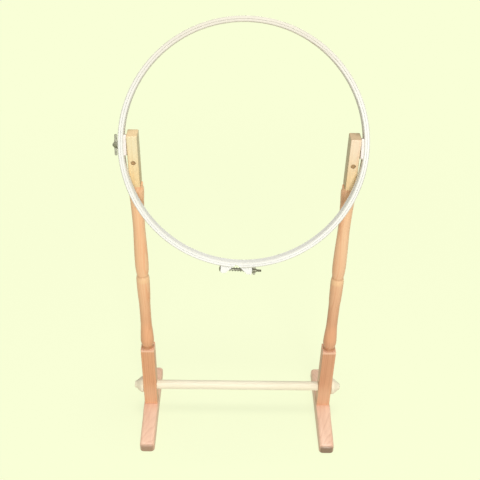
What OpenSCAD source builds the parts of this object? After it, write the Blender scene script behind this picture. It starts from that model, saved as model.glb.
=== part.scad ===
// Floor-standing quilting hoop: two bent-wood rings that tilt between a pair of turned posts.
// +Z is up, +Y points away from the quilter, and the floor is z = 0 midway between the posts.

/* [Hoop] */
// Inside diameter of the inner ring
hoop_in_d = 559; // [540:1:600]
// Width of the ring bands, from the front edge to the back edge
ring_w = 28; // [24:0.5:30]
// Thickness of the inner ring
inner_ring_t = 6.5; // [5:0.25:7.5]
// Thickness of the outer ring
outer_ring_t = 6.5; // [5:0.25:7.5]
// Gap all round between the two rings
ring_gap = 0.3; // [0.2:0.05:0.5]
// Bevel along the edges of both rings
ring_bevel = 1; // [0.4:0.1:1.5]
// Angle that the hoop leans back from upright when it rests
hoop_lean = 20; // [20:1:60]

/* [Pivots] */
// Distance of the pivot line below the tops of the posts
pivot_down = 27; // [20:1:32]
// Distance that the pivot line lies ahead of the middle of the posts
pivot_ahead = 9; // [8.5:0.5:10]
// Length of a pivot pad along its ring
pad_l = 48; // [36:1:60]
// Width of a pivot pad across the ring band
pad_w = 24; // [18:1:24]
// Thickness of a pivot pad in its middle
pad_t = 6.5; // [6.5:0.1:9]
// Corner radius of a pivot pad
pad_round = 4; // [2:0.5:6]
// Diameter of the left pivot bolt
pivot_bolt_d = 7.9; // [7:0.1:8.5]
// Depth of the left pivot bolt in its top block
pivot_bolt_grip = 20; // [16:1:22]
// Length of the left pivot bolt beyond its wing nut
pivot_bolt_over = 2; // [0.2:0.1:3]
// Diameter of the left pivot washer
pivot_washer_d = 20; // [18:0.5:24]
// Thickness of the left pivot washer
pivot_washer_t = 1.6; // [1:0.1:2.5]
// Diameter of the left wing nut's hub at its foot
pivot_hub_d = 14; // [13:0.5:18]
// Height of the left wing nut's hub
pivot_hub_h = 9; // [8:0.5:12]
// Span of the left wing nut over both wings
pivot_wing_span = 50; // [40:1:54]
// Thickness of the left wing nut's wings
pivot_wing_t = 3; // [2:0.25:4]
// Angle that the left wing nut's wings lean back from upright
pivot_wing_lean = 20; // [0:1:90]
// Shank diameter of the right pivot screw
pivot_screw_d = 6; // [5:0.1:6.5]
// Depth of the right pivot screw in its top block
pivot_screw_grip = 20; // [16:1:22]
// Head diameter of the right pivot screw
pivot_screw_head_d = 11; // [10:0.5:12]

/* [Closure] */
// Turn of the closure from the lowest point of the hoop towards the left
closure_turn = 2.5; // [0:0.5:8]
// Width of the split in the outer ring at its inner face
split_w = 4; // [3:0.5:8]
// Slope of the bevelled ends beside the split, as half width per depth
split_slope = 1.1; // [0.9:0.05:1.15]
// Length of each closure block from the middle of the split
closure_block_l = 38.4; // [37:0.2:46]
// Depth of each closure block beyond the outer ring
closure_block_h = 16; // [15.5:0.5:20]
// Width of each closure block across the ring band
closure_block_w = 24; // [20:1:26]
// Bevel on the outer corner of each closure block
closure_block_bevel = 3; // [1:0.5:5]
// Distance of the closure bolt from the outer ring
closure_bolt_out = 8.5; // [8:0.1:9]
// Diameter of the closure bolt
closure_bolt_d = 6.35; // [6:0.05:7]
// Length of the closure bolt under its head
closure_bolt_l = 100; // [96:1:110]
// Head diameter of the closure bolt
closure_head_d = 15; // [13:0.5:16]
// Head height of the closure bolt
closure_head_h = 3.5; // [2.5:0.25:4.5]
// Length of the square neck of the closure bolt
closure_neck_l = 3.5; // [2:0.5:5]
// Distance from the middle of the split to the floor of each spring seat
spring_seat_x = 22; // [20:0.5:24]
// Diameter of each spring seat
spring_seat_d = 12; // [11.8:0.1:12.5]
// Outer diameter of the closure spring
spring_d = 10.8; // [10.2:0.1:11]
// Wire diameter of the closure spring
spring_wire = 1.2; // [1:0.05:1.3]
// Curls of the closure spring
spring_curls = 8; // [6:1:9]
// Diameter of the closure washer
closure_washer_d = 15; // [13:0.5:16]
// Thickness of the closure washer
closure_washer_t = 1.4; // [1:0.1:2]
// Diameter of the closure wing nut's hub at its foot
closure_hub_d = 11; // [10.5:0.5:13]
// Height of the closure wing nut's hub
closure_hub_h = 9.5; // [7:0.5:11]
// Span of the closure wing nut over both wings
closure_wing_span = 22.4; // [20:0.2:22.6]
// Thickness of the closure wing nut's wings
closure_wing_t = 2.4; // [1.5:0.1:3]
// Shank diameter of the closure block screws
block_screw_d = 3.4; // [2.8:0.1:3.6]
// Head diameter of the closure block screws
block_screw_head_d = 6.6; // [6:0.1:7]
// Length of the closure block screws
block_screw_l = 16; // [12:1:18]
// Distance of the closure block screws from the middle of the split
block_screw_x = 30; // [29:0.5:31]
// Distance of the closure block screws from the middle of the ring band
block_screw_z = 8; // [7:0.5:8.5]

/* [Posts] */
// Side of the square stock of the posts
stock = 38; // [37:0.5:40]
// Height of the shoulder where a post turns from square to round
shoulder_z = 263; // [250:1:275]
// Drop of the rounded shoulder below the turning
shoulder_h = 6; // [3:0.5:9]
// Height of the joint between a post and its top block
top_joint_z = 806; // [792:1:808]
// Height of a top block
top_block_h = 136; // [135:1:142]
// Width of a top block from side to side; its depth is the side of the stock
top_block_w = 26; // [24:0.5:27]
// Bevel on the upright edges of the top blocks
top_block_bevel = 3; // [2.5:0.25:4]
// Bevel round the upper end of the top blocks
top_end_bevel = 2; // [1:0.5:3]
// Bevel on the upright edges of the lower square part of the posts
low_block_bevel = 1.5; // [0.5:0.25:3]
// Largest diameter of the turning
turn_d = 37.6; // [36:0.2:38]
// Diameter of the turning at its waists
waist_d = 30.4; // [28:0.2:33]
// Diameter of the tenon in the top block
tenon_d = 18; // [15:0.5:19]
// Length of the tenon in the top block
tenon_l = 85; // [80:1:90]
// Diameter of the peg that pins each tenon
peg_d = 11; // [8:0.5:12]
// Height of the peg above the joint
peg_up = 66; // [55:1:68]

/* [Feet] */
// Length of a foot from front to back
foot_l = 315; // [290:5:340]
// Distance that the middle of a foot lies ahead of its post
foot_ahead = 5; // [0:1:6]
// Width of a foot
foot_w = 42; // [40:1:50]
// Height of a foot under its post
foot_h = 42; // [38:1:46]
// Height of a foot near its ends
foot_end_h = 25; // [22:1:34]
// Length of the level seat on top of a foot
foot_seat_l = 52; // [44:1:70]
// Corner radius at the ends of a foot
foot_end_round = 10; // [4:1:14]
// Diameter of the recess in the sole for the bolt's head
recess_d = 26; // [25:1:30]
// Depth of the recess in the sole
recess_h = 13; // [10:1:16]
// Diameter of the bolt that holds a post to its foot
foot_bolt_d = 7.9; // [6:0.1:9]
// Length of that bolt under its head
foot_bolt_l = 74; // [60:1:78]
// Width of the bolt's head across its flats
foot_bolt_flats = 12.7; // [11:0.1:14]
// Height of the bolt's head
foot_bolt_head_h = 5.5; // [4:0.5:6]
// Diameter of the washer under the bolt's head
foot_washer_d = 22; // [18:0.5:24]
// Thickness of that washer
foot_washer_t = 1.8; // [1:0.1:2.5]
// Diameter of the dowels beside the bolt
foot_dowel_d = 9.5; // [6:0.5:10]
// Length of those dowels
foot_dowel_l = 40; // [30:1:44]
// Distance of each dowel from the middle of the post
foot_dowel_y = 11; // [10.5:0.25:12]

/* [Crossbar] */
// Height of the crossbar above the floor
bar_z = 106; // [104:1:140]
// Diameter of the crossbar
bar_d = 27; // [24:0.5:32]
// Diameter of the crossbar's ends, which pass through the posts
bar_end_d = 19; // [14:0.5:20]
// Length of a crossbar end inside its knob
bar_end_in_knob = 20; // [14:1:21]
// Diameter of a crossbar knob
knob_d = 47; // [40:1:54]
// Length of a crossbar knob
knob_l = 27; // [25:1:32]
// Diameter of a knob's flat outer end
knob_end_d = 22; // [18:1:30]
// Bevel round a knob's inner end
knob_bevel = 2; // [1:0.5:4]

/* [Fits] */
// Space between pieces that touch and move against each other
face_gap = 0.3; // [0.2:0.05:0.4]
// Space round a shaft that turns in a bore, at the radius
turn_gap = 0.08; // [0.04:0.01:0.1]
// Space round a glued or screwed shank, at the radius
glue_gap = 0.05; // [0.02:0.01:0.1]
// Space round a bolt that slides through a hole, at the radius
slide_gap = 0.3; // [0.2:0.05:0.5]

/* [Hidden] */

$fn = 96;
past = 1;                                        // how far a cut runs past the face it starts from
ring_fn = 360;

inner_r = hoop_in_d / 2;                         // inner face of the inner ring
inner_out_r = inner_r + inner_ring_t;            // outer face of the inner ring
outer_r = inner_out_r + ring_gap;                // inner face of the outer ring
outer_out_r = outer_r + outer_ring_t;            // outer face of the outer ring
closure_r = outer_out_r + closure_bolt_out;      // line of the closure bolt
block_out_r = outer_out_r + closure_block_h;     // lowest face of the closure blocks

pad_x = inner_r - pad_t;                         // flat face of a pivot pad
block_out_x = pad_x - face_gap;                  // outer face of a top block
post_x = block_out_x - top_block_w / 2;          // middle of a post
post_out_x = post_x + stock / 2;                 // outer face of a post
post_in_x = post_x - stock / 2;                  // inner face of a post

washer_x = outer_out_r + face_gap;               // seat of the left pivot washer
wing_nut_x = washer_x + pivot_washer_t + glue_gap;
closure_washer_x = closure_block_l + face_gap;
closure_nut_x = closure_washer_x + closure_washer_t + glue_gap;

top_z = top_joint_z + top_block_h;
pivot_z = top_z - pivot_down;                    // height of the pivot line
seat_radius = (pow(foot_l / 2, 2) - pow(foot_seat_l / 2, 2)) / (2 * (foot_h - foot_end_h));
bolt_seat_z = recess_h - foot_washer_t;          // under side of the washer in the recess

honey = [0.93, 0.72, 0.52];
cream = [0.98, 0.95, 0.85];
pale = [0.97, 0.97, 0.90];
steel = [0.68, 0.68, 0.63];
peg_brown = [0.72, 0.60, 0.46];

// Stations of the turning from its foot up: share of its length, and share from waist to largest diameter
TURNING = [[0, 0.45], [0.012, 0.10], [0.045, 1], [0.105, 0.60], [0.160, 0.08], [0.210, 0],
  [0.290, 0.02], [0.352, 0.45], [0.400, 0.60], [0.462, 0.66], [0.472, 0.60], [0.478, 0.02],
  [0.486, 0.06], [0.508, 0.46], [0.548, 0.72], [0.596, 0.66], [0.690, 0.30], [0.760, 0.02],
  [0.893, 0.43], [0.972, 1], [0.989, 0.15], [1, 0.45]];
turning_steps = 4;                               // steps between two stations

// Slope at a station that keeps the curve free of ripples
function rise(i) = (TURNING[i + 1][1] - TURNING[i][1]) / (TURNING[i + 1][0] - TURNING[i][0]);
function slope(i) =
  i == 0 || i == len(TURNING) - 1 ? 0 :
  rise(i) * rise(i - 1) <= 0 ? 0 :
  2 * rise(i) * rise(i - 1) / (rise(i) + rise(i - 1));

// Cubic curve between station i and the next, at the share t of the way
function swell(i, t) =
  let (w = TURNING[i + 1][0] - TURNING[i][0])
  (1 + 2 * t) * pow(1 - t, 2) * TURNING[i][1] + t * pow(1 - t, 2) * w * slope(i)
  + t * t * (3 - 2 * t) * TURNING[i + 1][1] - t * t * (1 - t) * w * slope(i + 1);

function turning_points() = [
  for (i = [0 : len(TURNING) - 2])
    for (s = [0 : turning_steps - (i < len(TURNING) - 2 ? 1 : 0)])
      let (t = s / turning_steps)
      [(waist_d + (turn_d - waist_d) * swell(i, t)) / 2,
       shoulder_z + (top_joint_z - shoulder_z)
         * (TURNING[i][0] + t * (TURNING[i + 1][0] - TURNING[i][0]))]
];

// Rectangle with bevelled corners, about its middle
module bevelled(w, d, c) {
  polygon([[-w / 2 + c, -d / 2], [w / 2 - c, -d / 2], [w / 2, -d / 2 + c], [w / 2, d / 2 - c],
    [w / 2 - c, d / 2], [-w / 2 + c, d / 2], [-w / 2, d / 2 - c], [-w / 2, -d / 2 + c]]);
}

// Rectangle with round corners, about its middle
module rounded(w, d, r) {
  square([w - 2 * r, d], center = true);
  square([w, d - 2 * r], center = true);
  for (x = [-1, 1])
    for (y = [-1, 1])
      translate([x * (w / 2 - r), y * (d / 2 - r)]) circle(r = r, $fn = 32);
}

// Cylinder along X that starts at x and runs for l
module along_x(x, l, d) {
  translate([x, 0, 0]) rotate([0, 90, 0]) cylinder(d = d, h = l);
}

// Cone along X from diameter d1 to d2
module cone_x(x, l, d1, d2) {
  translate([x, 0, 0]) rotate([0, 90, 0]) cylinder(d1 = d1, d2 = d2, h = l);
}

// Places what is drawn flat in the hoop's own frame: x right, y up the hoop, z out of its front
module at_hoop() {
  translate([0, -pivot_ahead, pivot_z]) rotate([90 - hoop_lean, 0, 0]) children();
}

// Places what is drawn about the lowest point of the hoop at the closure
module at_closure() {
  at_hoop() rotate([0, 0, -closure_turn]) children();
}

// Places what is drawn along X at the closure bolt's line, from the middle of the split
module at_closure_bolt() {
  at_closure() translate([0, -closure_r, 0]) children();
}

// Copies to both posts
module at_posts() {
  for (s = [-1, 1])
    translate([s * post_x, 0, 0]) children();
}

module foot(x) {
  translate([x - foot_w / 2, -foot_ahead, 0])
    difference() {
      rotate([90, 0, 90]) linear_extrude(height = foot_w) foot_side();
      translate([foot_w / 2, foot_ahead, -past]) cylinder(d = recess_d, h = recess_h + past);
      translate([foot_w / 2, foot_ahead, 0]) cylinder(d = foot_bolt_d + 2 * slide_gap, h = foot_h + past);
      for (s = [-1, 1])
        translate([foot_w / 2, foot_ahead + s * foot_dowel_y, foot_h - foot_dowel_l / 2 - glue_gap])
          cylinder(d = foot_dowel_d + 2 * glue_gap, h = foot_dowel_l);
    }
}

// Side of a foot: flat sole, level seat, gently falling top and round ends
module foot_side() {
  intersection() {
    union() {
      translate([-foot_l / 2, 0]) square([foot_l, foot_end_h - foot_end_round]);
      translate([foot_end_round - foot_l / 2, 0]) square([foot_l - 2 * foot_end_round, foot_h]);
      for (s = [-1, 1])
        translate([s * (foot_l / 2 - foot_end_round), foot_end_h - foot_end_round])
          circle(r = foot_end_round, $fn = 48);
    }
    translate([0, foot_h + pow(foot_seat_l / 2, 2) / (2 * seat_radius) - seat_radius])
      circle(r = seat_radius, $fn = 360);
    translate([-foot_l / 2, 0]) square([foot_l, foot_h]);
  }
}

module post(x) {
  translate([x, 0, 0])
    difference() {
      union() {
        intersection() {
          translate([0, 0, foot_h]) linear_extrude(height = shoulder_z - foot_h) bevelled(stock, stock, low_block_bevel);
          rotate_extrude() shoulder_side();
        }
        rotate_extrude() polygon(concat([[0, shoulder_z]], turning_points(), [[0, top_joint_z]]));
        translate([0, 0, top_joint_z - past]) cylinder(d = tenon_d, h = tenon_l + past);
      }
      translate([0, 0, foot_h - past])
        cylinder(d = foot_bolt_d + 2 * glue_gap, h = bolt_seat_z + foot_washer_t + foot_bolt_l - foot_h + past);
      for (s = [-1, 1])
        translate([0, s * foot_dowel_y, foot_h - past])
          cylinder(d = foot_dowel_d + 2 * glue_gap, h = foot_dowel_l / 2 + glue_gap + past);
      translate([0, 0, bar_z]) along_x(-stock, 2 * stock, bar_end_d + 2 * glue_gap);
      translate([0, stock, top_joint_z + peg_up]) rotate([90, 0, 0])
        cylinder(d = peg_d + 2 * glue_gap, h = 2 * stock);
    }
}

// Half outline that rounds the corners of the square part off where the turning begins
module shoulder_side() {
  difference() {
    translate([0, foot_h]) square([stock, shoulder_z - foot_h]);
    translate([0, shoulder_z]) polygon([for (a = [0 : 15 : 90])
      [waist_d / 2 + (stock - waist_d / 2) * sin(a), -shoulder_h * (1 - cos(a))],
      each [[stock + past, -shoulder_h], [stock + past, past], [waist_d / 2, past]]]);
  }
}

module top_block(x) {
  side = sign(x);
  translate([x, 0, 0])
    difference() {
      intersection() {
        translate([0, 0, top_joint_z]) linear_extrude(height = top_block_h)
          bevelled(top_block_w, stock, top_block_bevel);
        translate([0, stock, top_z - stock]) rotate([90, 0, 0]) linear_extrude(height = 2 * stock)
          top_end_side(top_block_w);
        translate([-stock, 0, top_z - stock]) rotate([90, 0, 90]) linear_extrude(height = 2 * stock)
          top_end_side(stock);
      }
      translate([0, 0, top_joint_z - past])
        cylinder(d = tenon_d + 2 * glue_gap, h = tenon_l + glue_gap + past);
      translate([0, stock, top_joint_z + peg_up]) rotate([90, 0, 0])
        cylinder(d = peg_d + 2 * glue_gap, h = 2 * stock);
      translate([0, -pivot_ahead, pivot_z])
        if (side < 0)
          along_x(-top_block_w / 2 - past, past + pivot_bolt_grip, pivot_bolt_d + 2 * glue_gap);
        else
          along_x(top_block_w / 2 - pivot_screw_grip, pivot_screw_grip + past, pivot_screw_d + 2 * glue_gap);
    }
}

// Upright outline of a top block that is w wide, with its upper corners bevelled
module top_end_side(w) {
  polygon([[-w / 2, -top_block_h], [w / 2, -top_block_h], [w / 2, stock - top_end_bevel],
    [w / 2 - top_end_bevel, stock], [top_end_bevel - w / 2, stock], [-w / 2, stock - top_end_bevel]]);
}

module peg(x) {
  translate([x, stock / 2, top_joint_z + peg_up]) rotate([90, 0, 0]) cylinder(d = peg_d, h = stock);
}

module left_foot() { color(honey) foot(-post_x); }
module right_foot() { color(honey) foot(post_x); }
module left_post() { color(honey) post(-post_x); }
module right_post() { color(honey) post(post_x); }
module left_top_block() { color(honey) top_block(-post_x); }
module right_top_block() { color(honey) top_block(post_x); }
module left_peg() { color(peg_brown) peg(-post_x); }
module right_peg() { color(peg_brown) peg(post_x); }

module crossbar() {
  reach = post_out_x + face_gap + bar_end_in_knob;
  color(cream)
    translate([0, 0, bar_z]) {
      along_x(-post_in_x + glue_gap, 2 * (post_in_x - glue_gap), bar_d);
      along_x(-reach, 2 * reach, bar_end_d);
    }
}

// Knob on the right end of the crossbar; the left one is its mirror image
module crossbar_knob() {
  swell_l = knob_l / 4;
  color(cream)
    translate([post_out_x + face_gap, 0, bar_z]) rotate([0, 90, 0])
      difference() {
        rotate_extrude() polygon([[0, 0], [knob_d / 2 - knob_bevel, 0], [knob_d / 2, knob_bevel], [knob_d / 2, swell_l],
          for (a = [15 : 15 : 75])
            [knob_end_d / 2 + (knob_d - knob_end_d) / 2 * cos(a), swell_l + (knob_l - swell_l) * sin(a)],
          [knob_end_d / 2, knob_l], [0, knob_l]]);
        translate([0, 0, -past])
          cylinder(d = bar_end_d + 2 * turn_gap, h = bar_end_in_knob + face_gap + past);
      }
}

module left_crossbar_knob() { mirror([1, 0, 0]) crossbar_knob(); }
module right_crossbar_knob() { crossbar_knob(); }

module foot_bolts() {
  color(steel)
    at_posts() {
      translate([0, 0, bolt_seat_z - foot_bolt_head_h])
        cylinder(d = foot_bolt_flats / cos(30), h = foot_bolt_head_h, $fn = 6);
      translate([0, 0, bolt_seat_z]) cylinder(d = foot_bolt_d, h = foot_bolt_l - glue_gap);
    }
}

module foot_washers() {
  color(steel)
    at_posts() translate([0, 0, bolt_seat_z])
      difference() {
        cylinder(d = foot_washer_d, h = foot_washer_t);
        translate([0, 0, -past]) cylinder(d = foot_bolt_d + 2 * glue_gap, h = foot_washer_t + 2 * past);
      }
}

module foot_dowels() {
  color(cream)
    at_posts() for (s = [-1, 1])
      translate([0, s * foot_dowel_y, foot_h - foot_dowel_l / 2]) cylinder(d = foot_dowel_d, h = foot_dowel_l);
}

// Bent band with bevelled edges, between two radii
module band(r_in, r_out) {
  rotate_extrude($fn = ring_fn)
    translate([(r_in + r_out) / 2, 0]) bevelled(r_out - r_in, ring_w, ring_bevel);
}

module inner_ring() {
  color(pale) at_hoop()
    difference() {
      band(inner_r, inner_out_r);
      along_x(-inner_out_r - past, 2 * inner_ring_t + past, pivot_bolt_d + 2 * turn_gap);
      along_x(inner_r - inner_ring_t, 2 * inner_ring_t + past, pivot_screw_d + 2 * turn_gap);
      screw_head(inner_out_r - face_gap, 2 * turn_gap);
      along_x(inner_out_r - face_gap, past, pivot_screw_head_d + 4 * turn_gap);
    }
}

// Countersunk head of the right pivot screw, grown by a gap at the diameter; its flat top is at x
module screw_head(x, gap) {
  h = (pivot_screw_head_d - pivot_screw_d) / 2;
  cone_x(x - h, h, pivot_screw_d + 2 * gap, pivot_screw_head_d + 2 * gap);
}

// Pad on the right side; grows to the curve of the ring that it is glued to
module pivot_pad(bore) {
  color(pale) at_hoop()
    difference() {
      intersection() {
        translate([pad_x, 0, 0]) rotate([90, 0, 90]) linear_extrude(height = pad_t) rounded(pad_l, pad_w, pad_round);
        cylinder(r = inner_r, h = 2 * pad_w, center = true, $fn = ring_fn);
      }
      along_x(pad_x - past, pad_t + 2 * past, bore);
    }
}

module left_pivot_pad() { mirror([1, 0, 0]) pivot_pad(pivot_bolt_d + 2 * turn_gap); }
module right_pivot_pad() { pivot_pad(pivot_screw_d + 2 * turn_gap); }

module left_pivot_bolt() {
  far_x = wing_nut_x + pivot_hub_h + pivot_bolt_over;
  color(steel) translate([0, -pivot_ahead, pivot_z])
    along_x(-far_x, far_x - block_out_x + pivot_bolt_grip - glue_gap, pivot_bolt_d);
}

module right_pivot_screw() {
  head_x = inner_out_r - face_gap;
  color(steel) translate([0, -pivot_ahead, pivot_z]) {
    along_x(block_out_x - pivot_screw_grip + glue_gap, head_x - block_out_x + pivot_screw_grip - past, pivot_screw_d);
    screw_head(head_x, 0);
  }
}

// Flat ring about X that starts at x
module washer(x, t, d, bore) {
  difference() {
    along_x(x, t, d);
    along_x(x - past, t + 2 * past, bore);
  }
}

// Wing nut about X that starts at x, with its wings in the plane of X and Z
module wing_nut(x, hub_d, hub_h, span, wing_t, bore) {
  lobe = hub_h * 0.36;
  tip_x = hub_h * 0.4;
  tip_z = span / 2 - lobe;
  translate([x, 0, 0])
    difference() {
      union() {
        cone_x(0, hub_h, hub_d, hub_d * 0.82);
        for (s = [0, 1])
          mirror([0, 0, s]) rotate([90, 0, 0]) linear_extrude(height = wing_t, center = true) {
            translate([tip_x, tip_z]) circle(r = lobe, $fn = 40);
            polygon([[0.5, hub_d / 4], [tip_x - lobe * 0.9, tip_z], [tip_x + lobe * 0.9, tip_z],
              [hub_h * 0.9, hub_d / 4]]);
          }
      }
      along_x(-past, hub_h + 2 * past + hub_h, bore);
    }
}

module left_pivot_washer() {
  color(steel) translate([0, -pivot_ahead, pivot_z]) mirror([1, 0, 0])
    washer(washer_x, pivot_washer_t, pivot_washer_d, pivot_bolt_d + 2 * turn_gap);
}

module left_pivot_wing_nut() {
  color(steel) translate([0, -pivot_ahead, pivot_z]) rotate([-pivot_wing_lean, 0, 0]) mirror([1, 0, 0])
    wing_nut(wing_nut_x, pivot_hub_d, pivot_hub_h, pivot_wing_span, pivot_wing_t, pivot_bolt_d + 2 * turn_gap);
}

// Half width of the split at radius r
function split_half(r) = split_w / 2 + (r - outer_r) * split_slope;

// Wedge that the split takes out of the outer ring
module split_wedge() {
  near = outer_r - past;
  far = block_out_r + past;
  linear_extrude(height = 2 * ring_w, center = true)
    polygon([[-split_half(near), -near], [split_half(near), -near], [split_half(far), -far], [-split_half(far), -far]]);
}

module outer_ring() {
  notch = pivot_bolt_d + 2 * slide_gap;
  color(pale) difference() {
    at_hoop() band(outer_r, outer_out_r);
    at_closure() split_wedge();
    at_hoop() along_x(-outer_out_r - past, 2 * outer_ring_t + past, notch);
    at_hoop() translate([-outer_out_r - past, -notch / 2, -ring_w]) cube([2 * outer_ring_t + past, notch, ring_w]);
    at_closure() block_screws(glue_gap);
  }
}

// Block on the right of the split; the left one mirrors it but holds the bolt's square neck
module closure_block(neck) {
  top_r = outer_r - split_w;
  difference() {
    linear_extrude(height = closure_block_w, center = true)
      difference() {
        polygon([[split_half(top_r), -top_r], [split_half(block_out_r), -block_out_r],
          [closure_block_l - closure_block_bevel, -block_out_r],
          [closure_block_l, closure_block_bevel - block_out_r], [closure_block_l, -top_r]]);
        circle(r = outer_out_r + glue_gap, $fn = ring_fn);
      }
    translate([0, -closure_r, 0]) {
      along_x(0, closure_block_l + past, closure_bolt_d + 2 * slide_gap);
      along_x(0, spring_seat_x, spring_seat_d);
      if (neck)
        translate([closure_block_l - closure_neck_l, 0, 0]) neck(closure_neck_l + past, glue_gap);
    }
    block_screws(glue_gap);
  }
}

// Square neck of the closure bolt from x = 0, grown by a gap all round
module neck(l, gap) {
  translate([l / 2, 0, 0]) cube([l, closure_bolt_d + 2 * gap, closure_bolt_d + 2 * gap], center = true);
}

module left_closure_block() { color(pale) at_closure() mirror([1, 0, 0]) closure_block(true); }
module right_closure_block() { color(pale) at_closure() closure_block(false); }

// The four countersunk screws from inside the outer ring into the closure blocks, grown by a gap
module block_screws(gap) {
  head_h = (block_screw_head_d - block_screw_d) / 2;
  lean = asin(block_screw_x / outer_r);
  for (s = [-1, 1])
    for (z = [-1, 1])
      rotate([0, 0, s * lean]) translate([0, -outer_r - 0.2, z * block_screw_z]) rotate([90, 0, 0]) {
        cylinder(d = block_screw_d + 2 * gap, h = block_screw_l + gap);
        cylinder(d1 = block_screw_head_d + 2 * gap, d2 = block_screw_d + 2 * gap, h = head_h);
        if (gap > 0)
          translate([0, 0, -past]) cylinder(d = block_screw_head_d + 2 * gap, h = past);
      }
}

module closure_block_screws() { color(steel) at_closure() block_screws(0); }

module closure_bolt() {
  ball_r = (pow(closure_head_d / 2, 2) + pow(closure_head_h, 2)) / (2 * closure_head_h);
  color(steel) at_closure_bolt() {
    along_x(-closure_block_l - glue_gap, closure_bolt_l, closure_bolt_d);
    translate([-closure_block_l - glue_gap, 0, 0]) neck(closure_neck_l, 0);
    intersection() {
      translate([ball_r - closure_head_h - closure_block_l - glue_gap, 0, 0]) sphere(r = ball_r, $fn = 64);
      along_x(-closure_block_l - glue_gap - closure_head_h, closure_head_h, closure_head_d);
    }
  }
}

// Spring: a helix about X whose ends bend square to the seats and run straight for one wire diameter
coil_r = (spring_d - spring_wire) / 2;
spring_rings = 8;                                // rings in a curl
spring_sides = 6;
spring_bend = 1.3;                               // radius of the bend at each end
bend_steps = 3;
spring_end_x = spring_seat_x - glue_gap;
coil_end_x = spring_end_x - spring_wire - spring_bend;
coil_pitch = 2 * coil_end_x / spring_curls;
coil_lead = atan(coil_pitch / (2 * PI * coil_r));    // angle of the wire to the plane of a curl

function helix(a) = [coil_pitch * a / 360, coil_r * cos(a), coil_r * sin(a)];
function helix_way(a) = [sin(coil_lead), -cos(coil_lead) * sin(a), cos(coil_lead) * cos(a)];
function helix_lift(a) = [cos(coil_lead), sin(coil_lead) * sin(a), -sin(coil_lead) * cos(a)];

// Points from the middle of the helix to one end, for side 1 or -1
half_turn = 180 * spring_curls;
function end_point(s, b) =
  helix(s * half_turn) + spring_bend * (sin(b) * s * helix_way(s * half_turn) + (1 - cos(b)) * s * helix_lift(s * half_turn));
function end_points(s) = [
  for (k = [1 : bend_steps]) end_point(s, k * (90 - coil_lead) / bend_steps),
  let (p = end_point(s, 90 - coil_lead)) [s * spring_end_x, p[1], p[2]]
];
function turned(list) = [for (i = [len(list) - 1 : -1 : 0]) list[i]];
spring_path = concat(
  turned(end_points(-1)),
  [for (k = [-spring_rings * spring_curls / 2 : spring_rings * spring_curls / 2]) helix(k * 360 / spring_rings)],
  end_points(1));

// Least space between the wire and itself, from points at least half a curl apart
spring_gap = min([
  for (i = [0 : len(spring_path) - 1])
    for (j = [i + spring_rings / 2 + bend_steps : 1 : len(spring_path) - 1])
      norm(spring_path[i] - spring_path[j])
]) - spring_wire;

function unit(v) = v / norm(v);
function way(path, i) =
  i == 0 || i == len(path) - 1 ? [1, 0, 0] :
  unit(unit(path[i + 1] - path[i]) + unit(path[i] - path[i - 1]));

// Round tube along a path about the X axis, with each ring square to the way the path runs
module tube(path, d, sides) {
  rings = [for (i = [0 : len(path) - 1])
    let (t = way(path, i), out = unit([0, path[i][1], path[i][2]]), u = unit(out - (out * t) * t), v = cross(t, u))
    for (k = [0 : sides - 1]) path[i] + d / 2 * (cos(k * 360 / sides) * u + sin(k * 360 / sides) * v)];
  walls = [for (i = [0 : len(path) - 2])
    for (k = [0 : sides - 1])
      let (a = i * sides + k, b = i * sides + (k + 1) % sides)
      each [[a, b, a + sides], [b, b + sides, a + sides]]];
  last = (len(path) - 1) * sides;
  caps = [for (k = [1 : sides - 2]) each [[0, k + 1, k], [last, last + k, last + k + 1]]];
  polyhedron(points = rings, faces = [for (f = concat(walls, caps)) [f[0], f[2], f[1]]]);
}

module closure_spring() {
  echo(least_spring_gap = spring_gap);
  color(steel) at_closure_bolt() tube(spring_path, spring_wire, spring_sides);
}

module closure_washer() {
  color(steel) at_closure_bolt()
    washer(closure_washer_x, closure_washer_t, closure_washer_d, closure_bolt_d + 2 * turn_gap);
}

module closure_wing_nut() {
  color(steel) at_closure_bolt() rotate([90, 0, 0])
    wing_nut(closure_nut_x, closure_hub_d, closure_hub_h, closure_wing_span, closure_wing_t,
      closure_bolt_d + 2 * turn_gap);
}

left_foot();
right_foot();
left_post();
right_post();
left_top_block();
right_top_block();
left_peg();
right_peg();
crossbar();
left_crossbar_knob();
right_crossbar_knob();
foot_bolts();
foot_washers();
foot_dowels();
inner_ring();
left_pivot_pad();
right_pivot_pad();
left_pivot_bolt();
right_pivot_screw();
left_pivot_washer();
left_pivot_wing_nut();
outer_ring();
left_closure_block();
right_closure_block();
closure_block_screws();
closure_bolt();
closure_spring();
closure_washer();
closure_wing_nut();
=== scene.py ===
import bpy, bmesh, math
from mathutils import Matrix, Vector


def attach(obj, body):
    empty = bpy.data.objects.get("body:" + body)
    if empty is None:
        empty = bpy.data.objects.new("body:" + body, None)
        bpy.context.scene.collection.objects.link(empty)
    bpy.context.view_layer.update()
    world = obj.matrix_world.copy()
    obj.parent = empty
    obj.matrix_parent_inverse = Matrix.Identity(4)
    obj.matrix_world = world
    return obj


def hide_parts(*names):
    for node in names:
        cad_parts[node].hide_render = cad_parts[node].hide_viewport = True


# %% [markdown]
# # A floor-standing quilting hoop
# Two thin bent-wood rings hang between a pair of turned posts, and tilt on two pivots. The scene starts from
# the measured solids, which stay where they are, and gives each one the shape and the finish that the eye
# expects: rounded edges, wood grain, metal that has been handled. The box of the solids is kept, because the
# dressed hoop must not grow out of it.

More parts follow.
